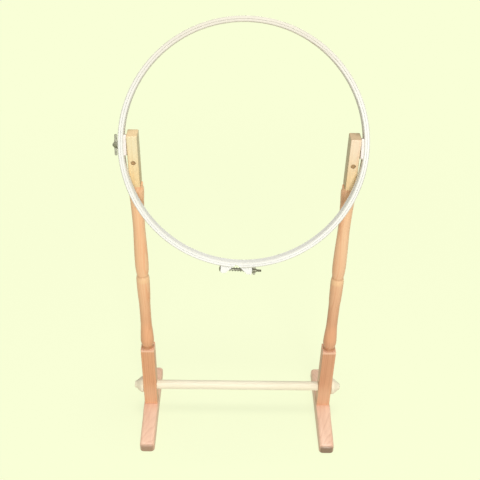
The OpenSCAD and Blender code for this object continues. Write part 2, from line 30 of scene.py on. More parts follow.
# %% Load the measured hoop
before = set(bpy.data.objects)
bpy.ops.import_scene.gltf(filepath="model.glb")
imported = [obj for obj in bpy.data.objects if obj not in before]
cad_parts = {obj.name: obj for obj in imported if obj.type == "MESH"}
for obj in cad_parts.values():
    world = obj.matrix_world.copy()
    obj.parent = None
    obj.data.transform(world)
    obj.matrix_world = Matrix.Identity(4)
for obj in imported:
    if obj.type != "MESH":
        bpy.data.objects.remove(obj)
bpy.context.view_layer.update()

# %% [markdown]
# ## Sizes
# The stand is measured in millimetres, as a joiner would, and the scene is in metres, so every size below is
# written in millimetres and multiplied by one constant. The places are those of the solids.

# %% Sizes of the stand and the hoop
mm = 0.001
POST_X, POST_SIDE = 259.7 * mm, 38 * mm
FOOT_TOP, SHOULDER_Z, TOP_JOINT_Z, TOP_Z = 42 * mm, 263 * mm, 806 * mm, 942 * mm
BAR_Z = 106 * mm
PIVOT = Vector((0, -9 * mm, 915 * mm))
LEAN = math.radians(20)
INNER_R, INNER_OUT_R, OUTER_R, OUTER_OUT_R = 279.5 * mm, 286.0 * mm, 286.3 * mm, 292.8 * mm
RING_W = 28 * mm
CLOSURE_TURN = math.radians(-2.5)
CLOSURE_R = OUTER_OUT_R + 8.5 * mm
print("pivot height", PIVOT.z, "hoop outside", 2 * OUTER_OUT_R)

# %% [markdown]
# ## Places to work in
# A hoop is easiest to make lying flat round the origin, and a turned part is easiest to make standing on the
# origin as in a lathe. Each finished mesh is then carried to its place by one matrix, so the object itself
# stays at the origin, unturned. `HOOP` leans a flat hoop back on its pivots, and `CLOSURE` also turns it
# to the split at its lowest point. `ALONG_X` lays a lathe axis along X, and `BOLT` and the two pivots put it
# where a bolt goes.

# %% Matrices that carry a mesh to its place
at, about, QUARTER = Matrix.Translation, Matrix.Rotation, math.pi / 2
ALONG_X, ALONG_MINUS_X, ALONG_MINUS_Y = about(QUARTER, 4, "Y"), about(-QUARTER, 4, "Y"), about(QUARTER, 4, "X")
HOOP = at(PIVOT) @ about(QUARTER - LEAN, 4, "X")
CLOSURE = HOOP @ about(CLOSURE_TURN, 4, "Z")
BOLT_LINE = CLOSURE @ at((0, -CLOSURE_R, 0))
BOLT = BOLT_LINE @ ALONG_X
LEFT_PIVOT, RIGHT_PIVOT = at(PIVOT) @ ALONG_MINUS_X, at(PIVOT) @ ALONG_X
print("closure at", tuple(round(v, 4) for v in BOLT_LINE.translation))

# %% [markdown]
# ## From a bmesh to a piece
# Every piece ends the same way: doubles merged, faces turned outward, smooth shading with the hard edges
# kept, its place put into the mesh, and a ride on the body that it moves with. One helper does all of it,
# so no step is forgotten. A piece is called after the solid that it stands for, with a last word for how it
# is made, so the helper knows which solid to hide.

# %% Helpers that finish a piece
def new_object(name, mesh):
    made = bpy.data.objects.new(name, mesh)
    bpy.context.scene.collection.objects.link(made)
    return made


def finish_piece(bm, name, place, body, sharp=35, even=True):
    bmesh.ops.remove_doubles(bm, verts=bm.verts, dist=1e-6)
    bmesh.ops.transform(bm, matrix=place, verts=bm.verts)
    bmesh.ops.recalc_face_normals(bm, faces=bm.faces)
    mesh = bpy.data.meshes.new(name)
    bm.to_mesh(mesh)
    bm.free()
    mesh.shade_smooth()
    mesh.set_sharp_from_angle(angle=math.radians(sharp))
    piece = new_object(name, mesh)
    if even:
        piece.modifiers.new("even_normals", "WEIGHTED_NORMAL").keep_sharp = True
    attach(piece, body)
    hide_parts(name.rpartition("_")[0])
    print(name, len(mesh.polygons), "faces")
    return piece


def pair(make, rest):
    """Make the left piece, whose side is -1, and then the right one, whose side is 1."""
    return [make(name + rest, side) for name, side in (("left", -1), ("right", 1))]

# %% [markdown]
# ## Turning
# A lathe cuts a profile while the wood spins. `turn` does the same: it joins the points of a profile into a
# chain of edges and spins the chain once round Z. A profile that starts and ends on the axis gives a closed
# solid, and one that closes on itself gives a ring, such as a washer or the wooden hoop.

# %% Helper that turns a profile
def turn(bm, profile, steps=64, closed=False):
    rim = [bm.verts.new((r, 0, z)) for r, z in profile]
    chain = [bm.edges.new(pair) for pair in zip(rim, rim[1:])]
    if closed:
        chain.append(bm.edges.new((rim[-1], rim[0])))
    bmesh.ops.spin(bm, geom=rim + chain, axis=(0, 0, 1), cent=(0, 0, 0), dvec=(0, 0, 0),
                   angle=2 * math.pi, steps=steps, use_merge=True)
    bmesh.ops.remove_doubles(bm, verts=bm.verts, dist=1e-6)


def rounded_corner(r, z, radius, start, steps=4):
    """Points of a quarter round about (r, z), from the angle start."""
    turns = [start + QUARTER * i / steps for i in range(steps + 1)]
    return [(r + radius * math.cos(a), z + radius * math.sin(a)) for a in turns]

# %% [markdown]
# ## Square parts
# A block is a cube scaled to size whose edges are bevelled: first the four upright ones, which a joiner
# rounds most, then those of one end. `edges_along` picks edges by the way that they run, and `edges_at` by
# their level. A slab starts as one flat face, which `thicken` extrudes.

# %% Helpers for blocks
BMVert, BMEdge, BMFace = bmesh.types.BMVert, bmesh.types.BMEdge, bmesh.types.BMFace


def only(geom, kind):
    return [g for g in geom if isinstance(g, kind)]


def thicken(bm, faces, vec):
    moved = only(bmesh.ops.extrude_face_region(bm, geom=faces)["geom"], BMVert)
    bmesh.ops.translate(bm, vec=vec, verts=moved)
    return moved


def block(bm, size, centre):
    made = bmesh.ops.create_cube(bm, size=1)["verts"]
    bmesh.ops.scale(bm, vec=size, verts=made)
    bmesh.ops.translate(bm, vec=centre, verts=made)
    return made


def edges_along(bm, axis):
    runs = [(e, (e.verts[1].co - e.verts[0].co).normalized()) for e in bm.edges]
    return [e for e, run in runs if abs(run[axis]) > 0.999]


def edges_at(bm, axis, level):
    return [e for e in bm.edges if all(abs(v.co[axis] - level) < 1e-6 for v in e.verts)]


def round_edges(bm, edges, offset, segments):
    bmesh.ops.bevel(bm, geom=edges, offset=offset, offset_type="OFFSET", segments=segments,
                    profile=0.5, affect="EDGES", material=-1, clamp_overlap=True)


def hard_edges(bm, degrees):
    return [e for e in bm.edges if len(e.link_faces) == 2 and e.calc_face_angle() > math.radians(degrees)]

# %% [markdown]
# ## Boring holes
# A bit leaves a clean hole. `bore` cuts a finished mesh with a turned cutter, bakes the cut into the mesh, and
# throws the cutter away, so the piece keeps no live boolean. `straight` is the profile of a plain bit.

# %% Helpers that bore a piece
def bore(piece, cutters):
    for cut in cutters:
        mesh = bpy.data.meshes.new("bit")
        bmesh.ops.recalc_face_normals(cut, faces=cut.faces)
        cut.to_mesh(mesh)
        cut.free()
        bit = new_object("bit", mesh)
        step = piece.modifiers.new("bore", "BOOLEAN")
        step.object, step.operation, step.solver = bit, "DIFFERENCE", "EXACT"
        piece.modifiers.move(len(piece.modifiers) - 1, 0)
        for m in piece.modifiers[1:]:
            m.show_viewport = False
        bpy.context.view_layer.update()
        whole = piece.evaluated_get(bpy.context.evaluated_depsgraph_get())
        piece.data = bpy.data.meshes.new_from_object(whole)
        piece.modifiers.remove(step)
        for m in piece.modifiers:
            m.show_viewport = True
        bpy.data.objects.remove(bit)
    piece.data.set_sharp_from_angle(angle=math.radians(35))
    print(piece.name, "bored,", len(piece.data.polygons), "faces")


def straight(r, start, end):
    return [(0, start), (r, start), (r, end), (0, end)]


def bit_of(profile, place, steps=40):
    cut = bmesh.new()
    turn(cut, profile, steps)
    bmesh.ops.transform(cut, matrix=place, verts=cut.verts)
    return cut

# %% [markdown]
# ## The posts
# Each post is one stick of 38 mm stock: square below, where the crossbar passes through, then turned into two
# long swells with beads between them. It could be a square block and a lathe piece pushed together, but then
# the shoulder, where the corners run out into the round, would be wrong. So one ring of vertices is
# extruded up the post again and again, and each ring takes the outline that the wood has at its height.

# %% The turning's outline
WAIST, SWELL = 15.2 * mm, 18.8 * mm
STATIONS = [
    (0, .45), (.012, .10), (.045, 1), (.105, .60), (.160, .08), (.210, 0), (.290, .02), (.352, .45), (.400, .60),
    (.452, .66), (.466, .50), (.479, .04), (.487, .08), (.508, .46), (.548, .72), (.596, .66), (.690, .30),
    (.760, .02), (.893, .43), (.972, 1), (.989, .50), (1, .60)]


def rise(i):
    return (STATIONS[i + 1][1] - STATIONS[i][1]) / (STATIONS[i + 1][0] - STATIONS[i][0])


def slope(i):
    if i in (0, len(STATIONS) - 1) or rise(i) * rise(i - 1) <= 0:
        return 0
    return 2 * rise(i) * rise(i - 1) / (rise(i) + rise(i - 1))


def turned_levels(steps=7):
    """Heights and radii of the turning from its foot up."""
    levels = []
    for i in range(len(STATIONS) - 1):
        (a, low), (b, high) = STATIONS[i], STATIONS[i + 1]
        w = b - a
        for s in range(steps):
            t = s / steps
            share = ((1 + 2 * t) * (1 - t) ** 2 * low + t * (1 - t) ** 2 * w * slope(i)
                     + t * t * (3 - 2 * t) * high - t * t * (1 - t) * w * slope(i + 1))
            levels.append((SHOULDER_Z + (TOP_JOINT_Z - SHOULDER_Z) * (a + t * w), WAIST + (SWELL - WAIST) * share))
    return levels + [(TOP_JOINT_Z, WAIST + (SWELL - WAIST) * STATIONS[-1][1])]


print("turned levels", len(turned_levels()))

# %% [markdown]
# The square's corners are rounded by 1.6 mm, so a ring needs vertices close together there. The angles of one
# quarter are spaced to suit: nine steps along each half face and five round the corner.

# %% Outline of the square part
CORNER = 1.6 * mm


def quarter_angles():
    half = POST_SIDE / 2
    edge = math.atan2(half - CORNER, half)
    flat = [edge * i / 9 for i in range(10)]
    corner = [edge + (QUARTER - 2 * edge) * i / 5 for i in range(1, 6)]
    return flat + corner + [QUARTER - a for a in reversed(flat[1:-1])]


def square_radius(angle, half=POST_SIDE / 2, corner=CORNER):
    a = angle % QUARTER
    a = min(a, QUARTER - a)
    c, s = math.cos(a), math.sin(a)
    if half * math.tan(a) <= half - corner:
        return half / c
    m = (half - corner) * (c + s)
    return m + math.sqrt(m * m - 2 * (half - corner) ** 2 + corner ** 2)


ANGLES = [q * QUARTER + a for q in range(4) for a in quarter_angles()]
print("vertices in a ring", len(ANGLES), "corner reach", square_radius(math.pi / 4))

# %% [markdown]
# The shoulder is the square cut by the same curve that the gouge leaves on a pommel, steep at the corners
# and level by the round. The smaller of the two radii wins, eased a little so that the edge isn't a knife.
# A tenon stands on top, and goes up into the top block.

# %% Heights of the posts
FOOT_EASE, POMMEL, TENON_R, TENON_Z = 0.5 * mm, 6 * mm, 9 * mm, 890 * mm


def eased_min(a, b, ease=0.5 * mm):
    h = max(ease - abs(a - b), 0) / ease
    return min(a, b) - h * h * ease / 4


def post_levels():
    """Height, how much the square grows there, and the round that cuts it, from the foot to the shoulder."""
    levels = [(FOOT_TOP, -FOOT_EASE, None), (FOOT_TOP + FOOT_EASE, 0, None)]
    square = SHOULDER_Z - POMMEL - 1 * mm - FOOT_TOP
    levels += [(FOOT_TOP + square * i / 6, 0, None) for i in range(1, 7)]
    for i in range(1, 15):
        drop = POMMEL * (1 - i / 15)
        a = math.acos(max(-1, 1 - drop / POMMEL))
        levels.append((SHOULDER_Z - drop, 0, WAIST + (POST_SIDE - WAIST) * math.sin(a)))
    return levels


def ring_above(bm, ring):
    """Extrude a ring of vertices, and return the new ring in the same order."""
    edges = [bm.edges.get((ring[i - 1], ring[i])) for i in range(len(ring))]
    fresh = set(only(bmesh.ops.extrude_edge_only(bm, edges=edges)["geom"], BMVert))
    return [next(v for e in old.link_edges for v in e.verts if v in fresh) for old in ring]


# %% Make the posts
def make_post(name, side):
    bm = bmesh.new()
    ring = bmesh.ops.create_circle(bm, cap_ends=False, radius=1, segments=len(ANGLES))["verts"]
    ring = sorted(ring, key=lambda v: math.atan2(v.co.y, v.co.x) % (2 * math.pi))
    rows = [[(square_radius(a) + grow if cap is None else eased_min(square_radius(a), cap), z) for a in ANGLES]
            for z, grow, cap in post_levels()]
    tenon = [(TENON_R, TOP_JOINT_Z), (TENON_R, TENON_Z), (TENON_R - 1 * mm, TENON_Z + 1 * mm)]
    rows += [[place] * len(ANGLES) for place in [(r, z) for z, r in turned_levels()] + tenon]
    for count, row in enumerate(rows):
        if count:
            ring = ring_above(bm, ring)
        for v, a, (r, z) in zip(ring, ANGLES, row):
            v.co = (r * math.cos(a), r * math.sin(a), z)
    bmesh.ops.holes_fill(bm, edges=bm.edges)
    return finish_piece(bm, name, at((side * POST_X, 0, 0)), "stand", sharp=40, even=False)


left_post, right_post = pair(make_post, "_post_turned")

# %% [markdown]
# ## The top blocks
# The rings hang between two slim blocks glued on the posts' upper ends. Each is a plain block with its upright
# edges well rounded and its upper end eased. A peg goes through it from front to back and pins the tenon, so
# the block is bored for it, with a lip a little wider than the hole.

# %% Make the top blocks
PEG_Z, PEG_R, BLOCK_W = 872 * mm, 5.5 * mm, 26 * mm


def make_top_block(name, side):
    bm = bmesh.new()
    height, half, x = TOP_Z - TOP_JOINT_Z, POST_SIDE / 2, side * POST_X
    block(bm, (BLOCK_W, POST_SIDE, height), (0, 0, TOP_JOINT_Z + height / 2))
    round_edges(bm, edges_along(bm, 2), 3 * mm, 5)
    round_edges(bm, edges_at(bm, 2, TOP_Z), 2 * mm, 4)
    round_edges(bm, edges_at(bm, 2, TOP_JOINT_Z), 0.6 * mm, 2)
    piece = finish_piece(bm, name, at((x, 0, 0)), "stand")
    hole, lip, past = PEG_R + .1 * mm, PEG_R + 1.6 * mm, half + 1 * mm
    drilled = [(0, -past), (lip, -past), (hole, .5 * mm - half), (hole, half - .5 * mm), (lip, past), (0, past)]
    bore(piece, [bit_of(drilled, at((x, 0, PEG_Z)) @ ALONG_MINUS_Y)])
    return piece


left_top_block, right_top_block = pair(make_top_block, "_top_block_eased")

# %% [markdown]
# The pegs are short dowels cut a hair below the face, which is why each shows as a small dark round. Turning
# gives the chamfer that a dowel gets before it is driven in.

# %% Make the pegs
def make_peg(name, side):
    bm = bmesh.new()
    end, r = POST_SIDE / 2 - 0.9 * mm, PEG_R
    half = [(r, end - .8 * mm), (r - .3 * mm, end - .2 * mm), (r - .8 * mm, end), (0, end)]
    turn(bm, [(a, -z) for a, z in reversed(half)] + half, 40)
    return finish_piece(bm, name, at((side * POST_X, 0, PEG_Z)) @ ALONG_MINUS_Y, "stand")


left_peg, right_peg = pair(make_peg, "_peg_dowel")

# %% [markdown]
# ## The feet
# Each foot is a board with a level seat under its post, a top that falls gently to both ends, and corners
# rounded by a rasp. Behind the seat and ahead of it the upper edges are rounded more and more. The top is one
# soft surface, so it starts as a grid whose lines lie close together where the surface bends. Each point gets
# its height from the curve, and the rim is extruded down to the sole.

# %% The curve of a foot's top
FOOT_L, FOOT_W, FOOT_END, FOOT_AHEAD, SEAT = 315 * mm, 42 * mm, 25 * mm, 5 * mm, 52 * mm
TOP_CURVE_R = ((FOOT_L / 2) ** 2 - (SEAT / 2) ** 2) / (2 * (FOOT_TOP - FOOT_END))
PLAN_CORNER, END_EASE = 11 * mm, 9 * mm
SIDE_EASE, SIDE_EASE_GAIN, SIDE_EASE_RUN = 2 * mm, 7 * mm, 34 * mm


def quarter_drop(distance, radius):
    """How far a rounded edge has fallen at a distance in from its face."""
    away = max(radius - distance, 0)
    return radius - math.sqrt(radius * radius - away * away)


def foot_height(x, y):
    rest = FOOT_TOP + (SEAT / 2) ** 2 / (2 * TOP_CURVE_R) - TOP_CURVE_R
    level = min(FOOT_TOP, rest + math.sqrt(TOP_CURVE_R ** 2 - y * y))
    away = min(max((abs(y + FOOT_AHEAD) - SEAT / 2) / SIDE_EASE_RUN, 0), 1)
    side_ease = SIDE_EASE + SIDE_EASE_GAIN * away * away * (3 - 2 * away)
    return level - max(quarter_drop(FOOT_L / 2 - abs(y), END_EASE), quarter_drop(FOOT_W / 2 - abs(x), side_ease))


print("foot height at its front", foot_height(0, -FOOT_L / 2 + END_EASE))

# %% Make the feet
def grid_lines(half, soft, middle):
    """Places from -half to half, close together in the last soft millimetres at both ends."""
    ahead = [half - soft * share for share in (0, .02, .07, .15, .27, .42, .65, 1)]
    ahead += [ahead[-1] * i / middle for i in range(middle - 1, 0, -1)]
    return [-a for a in ahead] + [0] + ahead[::-1]


def make_foot(name, side):
    bm = bmesh.new()
    across, along = grid_lines(FOOT_W / 2, 10 * mm, 2), grid_lines(FOOT_L / 2, 11 * mm, 18)
    made = bmesh.ops.create_grid(bm, x_segments=len(across) - 1, y_segments=len(along) - 1, size=1)["verts"]
    made = sorted(made, key=lambda v: (round(v.co.y, 4), round(v.co.x, 4)))
    for i, v in enumerate(made):
        px, py = across[i % len(across)], along[i // len(across)]
        v.co = (px, py, foot_height(px, py))
        inner_x, inner_y = FOOT_W / 2 - PLAN_CORNER, FOOT_L / 2 - PLAN_CORNER
        dx, dy = abs(px) - inner_x, abs(py) - inner_y
        if dx > 0 and dy > 0:
            pull = max(dx, dy) / math.hypot(dx, dy)
            v.co.x, v.co.y = math.copysign(inner_x + dx * pull, px), math.copysign(inner_y + dy * pull, py)
    rim = [e for e in bm.edges if len(e.link_faces) == 1]
    for height, tuck in ((.8 * mm, 0), (.2 * mm, .2 * mm), (0, .8 * mm)):
        lower = bmesh.ops.extrude_edge_only(bm, edges=rim)["geom"]
        rim = only(lower, BMEdge)
        for v in only(lower, BMVert):
            v.co = (v.co.x * (1 - tuck / (FOOT_W / 2)), v.co.y * (1 - tuck / (FOOT_L / 2)), height)
    bmesh.ops.contextual_create(bm, geom=rim)
    piece = finish_piece(bm, name, at((side * POST_X, -FOOT_AHEAD, 0)), "stand")
    lip, wide, deep, hole, past = 14.4 * mm, 13 * mm, 13 * mm, 4.25 * mm, FOOT_TOP + 2 * mm
    recess = [(0, -1 * mm), (lip, -1 * mm), (wide, .4 * mm), (wide, deep), (hole, deep), (hole, past), (0, past)]
    bore(piece, [bit_of(recess, at((side * POST_X, 0, 0)), 48)])
    return piece


left_foot, right_foot = pair(make_foot, "_foot_board")

# %% [markdown]
# ## The crossbar and its knobs
# A round bar ties the posts. Its ends are turned down, pass through the posts and carry a knob each. All three
# are lathe work, so each is one profile. The knob is hollow where the bar's end sits, because it turns on it.

# %% Make the crossbar
def make_crossbar():
    bm = bmesh.new()
    face, end, r, tip = 240.65 * mm, 299.0 * mm, 13.5 * mm, 9.5 * mm
    half = [(0, end), (tip - 1 * mm, end), (tip, end - 1 * mm), (tip, face), (r - .6 * mm, face)]
    half += [(r, face - .6 * mm)] + [(r, face * i / 8) for i in range(7, 0, -1)]
    turn(bm, half + [(a, -z) for a, z in reversed(half)], 64)
    return finish_piece(bm, "crossbar_turned", at((0, 0, BAR_Z)) @ ALONG_X, "stand", even=False)


crossbar = make_crossbar()

# %% Make the knobs
KNOB_X = 279 * mm


def make_knob(name, side):
    bm = bmesh.new()
    r, tip, length, swell, ease, nose = 23.5 * mm, 11 * mm, 27 * mm, 6.75 * mm, 2 * mm, 5 * mm
    socket_r, socket_end, socket_ease = 9.6 * mm, 21 * mm, .6 * mm
    profile = [(0, socket_end), (socket_r, socket_end), (socket_r, socket_ease), (socket_r + socket_ease, 0)]
    profile += [(r - ease, 0)] + rounded_corner(r - ease, ease, ease, -QUARTER)[1:] + [(r, swell)]
    cone = length - nose - swell
    profile += [(r - (r - tip) * (i / 8) ** 1.15, swell + cone * i / 8) for i in range(1, 9)]
    profile += rounded_corner(tip - nose, length - nose, nose, 0)[1:] + [(0, length)]
    turn(bm, profile, 72)
    place = at((side * KNOB_X, 0, BAR_Z)) @ (ALONG_X if side > 0 else ALONG_MINUS_X)
    return finish_piece(bm, name, place, name.partition("_")[0] + "_knob", sharp=40, even=False)


left_knob, right_knob = pair(make_knob, "_crossbar_knob_turned")

# %% [markdown]
# ## The two rings
# A ring is a thin strip of wood steamed and bent round a form, then glued where its tapered ends overlap. Its
# section is a narrow rectangle, rounded where hands and cloth touch it and crisp where the rings meet, and that
# section is turned once round the hoop's axis.

# %% Make the rings
SOFT, CRISP = 2.6 * mm, 0.5 * mm


def make_ring(name, r_in, r_out, inner_ease, outer_ease, body):
    bm = bmesh.new()
    section, corners = [], [(r_out - outer_ease, outer_ease), (r_in + inner_ease, inner_ease)]
    for quarter, (r, ease) in enumerate(corners + corners[::-1]):
        z = RING_W / 2 - ease
        section += rounded_corner(r, z if quarter < 2 else -z, ease, quarter * QUARTER)
    turn(bm, section, 320, closed=True)
    return finish_piece(bm, name, HOOP, body, sharp=30)


inner_ring = make_ring("inner_ring_bent", INNER_R, INNER_OUT_R, SOFT, CRISP, "inner_hoop")
outer_ring = make_ring("outer_ring_bent", OUTER_R, OUTER_OUT_R, CRISP, SOFT, "outer_hoop")

# %% [markdown]
# The inner ring is drilled for the left bolt, and countersunk for the right screw. The outer ring is cut open at
# its lowest point by a wedge, and notched from its back edge where the left bolt passes.

# %% Bore and split the rings
BOLT_HOLE, SCREW_HOLE, NOTCH = 4.03 * mm, 3.08 * mm, 4.25 * mm
SINK_R, SINK_START, SINK_END = 5.75 * mm, 283.1 * mm, 285.8 * mm
INSIDE, OUTSIDE = 260 * mm, 300 * mm


def box_bit(size, centre, place):
    cut = bmesh.new()
    block(cut, size, centre)
    bmesh.ops.transform(cut, matrix=place, verts=cut.verts)
    return cut


def split_half(r):
    """Half the width of the split, which widens outward."""
    return 2 * mm + (r - OUTER_R) * 1.1


def wedge_bit():
    cut = bmesh.new()
    near, far = OUTER_R - 1 * mm, OUTER_OUT_R + 17.2 * mm
    outline = ((-1, near), (1, near), (1, far), (-1, far))
    face = cut.faces.new([cut.verts.new((s * split_half(r), -r, -RING_W)) for s, r in outline])
    thicken(cut, [face], (0, 0, 2 * RING_W))
    bmesh.ops.transform(cut, matrix=CLOSURE, verts=cut.verts)
    return cut


countersunk = [(0, INSIDE), (SCREW_HOLE, INSIDE), (SCREW_HOLE, SINK_START), (SINK_R, SINK_END),
               (SINK_R, OUTSIDE), (0, OUTSIDE)]
bore(inner_ring, [bit_of(straight(BOLT_HOLE, INSIDE, OUTSIDE), LEFT_PIVOT), bit_of(countersunk, RIGHT_PIVOT)])
slot = box_bit((30 * mm, 2 * NOTCH, 30 * mm), (-288 * mm, 0, -15 * mm), HOOP)
bore(outer_ring, [wedge_bit(), bit_of(straight(NOTCH, INSIDE, OUTSIDE), LEFT_PIVOT), slot])

# %% [markdown]
# ## The pivot pads
# A small pad is glued inside the inner ring at each pivot, so that the bolt has more wood to bear on. Its flat
# face looks at the top block and its back follows the ring. It starts as a block cut into strips, and the back
# vertices move out to the ring.

# %% Make the pivot pads
PAD_FACE, PAD_L, PAD_W = 273 * mm, 48 * mm, 24 * mm


def everything(bm):
    return bm.verts[:] + bm.edges[:] + bm.faces[:]


def make_pad(name, side):
    bm = bmesh.new()
    block(bm, (INNER_R - PAD_FACE, PAD_L, PAD_W), ((PAD_FACE + INNER_R) / 2, 0, 0))
    round_edges(bm, edges_along(bm, 0), 4 * mm, 5)
    round_edges(bm, edges_at(bm, 0, PAD_FACE), 0.8 * mm, 3)
    for i in range(-5, 6):
        bmesh.ops.bisect_plane(bm, geom=everything(bm), plane_co=(0, i * PAD_L / 12, 0), plane_no=(0, 1, 0))
    for v in bm.verts:
        if v.co.x > INNER_R - 1e-6:
            v.co.x = math.sqrt(INNER_R ** 2 - v.co.y ** 2)
    if side < 0:
        bmesh.ops.mirror(bm, geom=everything(bm), axis="X", merge_dist=0)
        bmesh.ops.delete(bm, geom=[v for v in bm.verts if v.co.x > 0], context="VERTS")
    piece = finish_piece(bm, name, HOOP, "inner_hoop")
    hole, place = (BOLT_HOLE, LEFT_PIVOT) if side < 0 else (SCREW_HOLE, RIGHT_PIVOT)
    bore(piece, [bit_of(straight(hole, INSIDE, OUTSIDE), place)])
    return piece


left_pad, right_pad = pair(make_pad, "_pivot_pad_eased")

# %% [markdown]
# ## The closure blocks
# Two blocks are screwed under the outer ring beside the split. They slope away from each other, and a bolt
# pulls them together against a spring. Each is one flat outline, extruded, eased and bored.

# %% Make the closure blocks
BLOCK_TOP, BLOCK_OUT, BLOCK_END, BLOCK_CORNER, BLOCK_D = 292.85 * mm, 308.8 * mm, 38.4 * mm, 3 * mm, 24 * mm
SEAT_R, SEAT_DEEP, SHANK_HOLE = 6 * mm, 22 * mm, 3.48 * mm


def make_closure_block(name, side):
    bm = bmesh.new()
    start = split_half(BLOCK_TOP)
    under_ring = [start + (BLOCK_END - start) * i / 8 for i in range(8, -1, -1)]
    points = [(x, -math.sqrt(BLOCK_TOP * BLOCK_TOP - x * x)) for x in under_ring]
    points += [(split_half(BLOCK_OUT), -BLOCK_OUT), (BLOCK_END - BLOCK_CORNER, -BLOCK_OUT),
               (BLOCK_END, BLOCK_CORNER - BLOCK_OUT)]
    rim = [bm.verts.new((side * x, y, -BLOCK_D / 2)) for x, y in points]
    thicken(bm, bmesh.ops.contextual_create(bm, geom=rim)["faces"], (0, 0, BLOCK_D))
    round_edges(bm, hard_edges(bm, 30), 0.8 * mm, 3)
    piece = finish_piece(bm, name, CLOSURE, "outer_hoop")
    bored = [(0, 0), (SEAT_R, 0), (SEAT_R, SEAT_DEEP)] + straight(SHANK_HOLE, SEAT_DEEP, 45 * mm)[1:]
    bore(piece, [bit_of(bored, BOLT_LINE @ (ALONG_X if side > 0 else ALONG_MINUS_X))])
    return piece


left_closure, right_closure = pair(make_closure_block, "_closure_block_eased")

# %% [markdown]
# ## Threads
# A thread is a groove wound round a rod. Rings of grooves would look alike from afar, but a spin that also
# moves along its axis winds a true one: a single V of one pitch is spun for all its turns, and each turn's
# edge meets the next. The plain shank and the chamfered tip close both ends.

# %% Helper that threads a rod
GROOVE, CORE = 0.6 * mm, 0.55 * mm


def threaded(bm, start, end, r, pitch, steps=32):
    turns = int((end - start) / pitch)
    section = ((GROOVE, 0), (0, .38), (0, .5), (GROOVE, .88), (GROOVE, 1))
    marks = [bm.verts.new((r - deep, 0, start + pitch * share)) for deep, share in section]
    chain = [bm.edges.new(ends) for ends in zip(marks, marks[1:])]
    bmesh.ops.spin(bm, geom=marks + chain, axis=(0, 0, 1), cent=(0, 0, 0), dvec=(0, 0, pitch / steps),
                   angle=2 * math.pi * turns, steps=steps * turns, use_merge=False)
    bmesh.ops.remove_doubles(bm, verts=bm.verts, dist=2e-6)

# %% [markdown]
# ## The closure bolt and its spring
# The bolt has a low domed head on the left, a square neck that stops it turning, a plain shank in the split and
# a thread on the right. The core of the thread runs on inside it, so the rod stays closed.

# %% Make the closure bolt
CLOSURE_PITCH, CLOSURE_BOLT_R = 1.27 * mm, 3.175 * mm


def make_closure_bolt():
    bm = bmesh.new()
    back, tip, thread, r = -38.45 * mm, 61.55 * mm, 24.4 * mm, CLOSURE_BOLT_R
    head, low, neck = 7.5 * mm, 3.5 * mm, 3.5 * mm
    dome = [(0, back - low)]
    for degrees in range(10, 81, 10):
        a = math.radians(degrees)
        dome.append((head * math.sin(a), back - low * math.cos(a)))
    dome += [(head, back - .5 * mm), (head - .2 * mm, back), (r, back)]
    core, chamfer = r - CORE, .4 * mm
    turn(bm, dome + [(r, thread - .4 * mm), (core, thread + .2 * mm), (core, tip - chamfer), (core - chamfer, tip),
                     (0, tip)], 32)
    threaded(bm, thread, tip - 1.2 * mm, r, CLOSURE_PITCH)
    block(bm, (2 * r, 2 * r, neck), (0, 0, back + neck / 2))
    return finish_piece(bm, "closure_bolt_threaded", BOLT, "outer_hoop", sharp=30, even=False)


closure_bolt = make_closure_bolt()

# %% [markdown]
# The spring is wire wound on a rod. A small circle is spun while it moves along the axis. The first and the
# last turn lie close, as on a bought spring, so that its ends sit square on their seats.

# %% Make the closure spring
def make_spring():
    bm = bmesh.new()
    wire, coil, reach = 0.6 * mm, 4.8 * mm, 21.9 * mm
    section = bmesh.ops.create_circle(bm, cap_ends=True, radius=wire, segments=10)["verts"]
    bmesh.ops.rotate(bm, cent=(0, 0, 0), matrix=about(QUARTER, 3, "X"), verts=section)
    bmesh.ops.translate(bm, vec=(coil, 0, wire - reach), verts=section)
    tip = list({f for v in section for f in v.link_faces})
    closing, loose, steps = 1.3 * mm, 6, 36
    middle = (2 * reach - 2 * wire - 2 * closing) / loose
    for turns, pitch in ((1, closing), (loose, middle), (1, closing)):
        geom = tip + list({e for f in tip for e in f.edges}) + list({v for f in tip for v in f.verts})
        made = bmesh.ops.spin(bm, geom=geom, axis=(0, 0, 1), cent=(0, 0, 0), dvec=(0, 0, pitch / steps),
                              angle=2 * math.pi * turns, steps=steps * turns, use_merge=False)["geom_last"]
        tip = only(made, BMFace)
    return finish_piece(bm, "closure_spring_wound", BOLT, "outer_hoop", sharp=50, even=False)


closure_spring = make_spring()

# %% [markdown]
# ## Washers and the pivot bolt
# A stamped washer has one soft edge all round. Its section is closed on itself and turned.

# %% Make the washers and the pivot bolt
def make_washer(name, place, body, start, thick, r_in, r_out):
    bm = bmesh.new()
    ease, end = thick * 0.28, start + thick
    half, corner = ease / 2, ease * .3
    turn(bm, [(r_in, start + half), (r_in + half, start), (r_out - ease, start), (r_out - corner, start + corner),
              (r_out, start + ease), (r_out, end - ease), (r_out - corner, end - corner), (r_out - ease, end),
              (r_in + half, end), (r_in, end - half)], 64, closed=True)
    return finish_piece(bm, name, place, body, sharp=40, even=False)


closure_washer = make_washer("closure_washer_stamped", BOLT, "closure_washer",
                             38.7 * mm, 1.4 * mm, 3.26 * mm, 7.5 * mm)
pivot_washer = make_washer("left_pivot_washer_stamped", LEFT_PIVOT, "pivot_washer",
                           293.1 * mm, 1.6 * mm, BOLT_HOLE, 10 * mm)
BURIED, PIVOT_PITCH = 252.75 * mm, 1.411 * mm


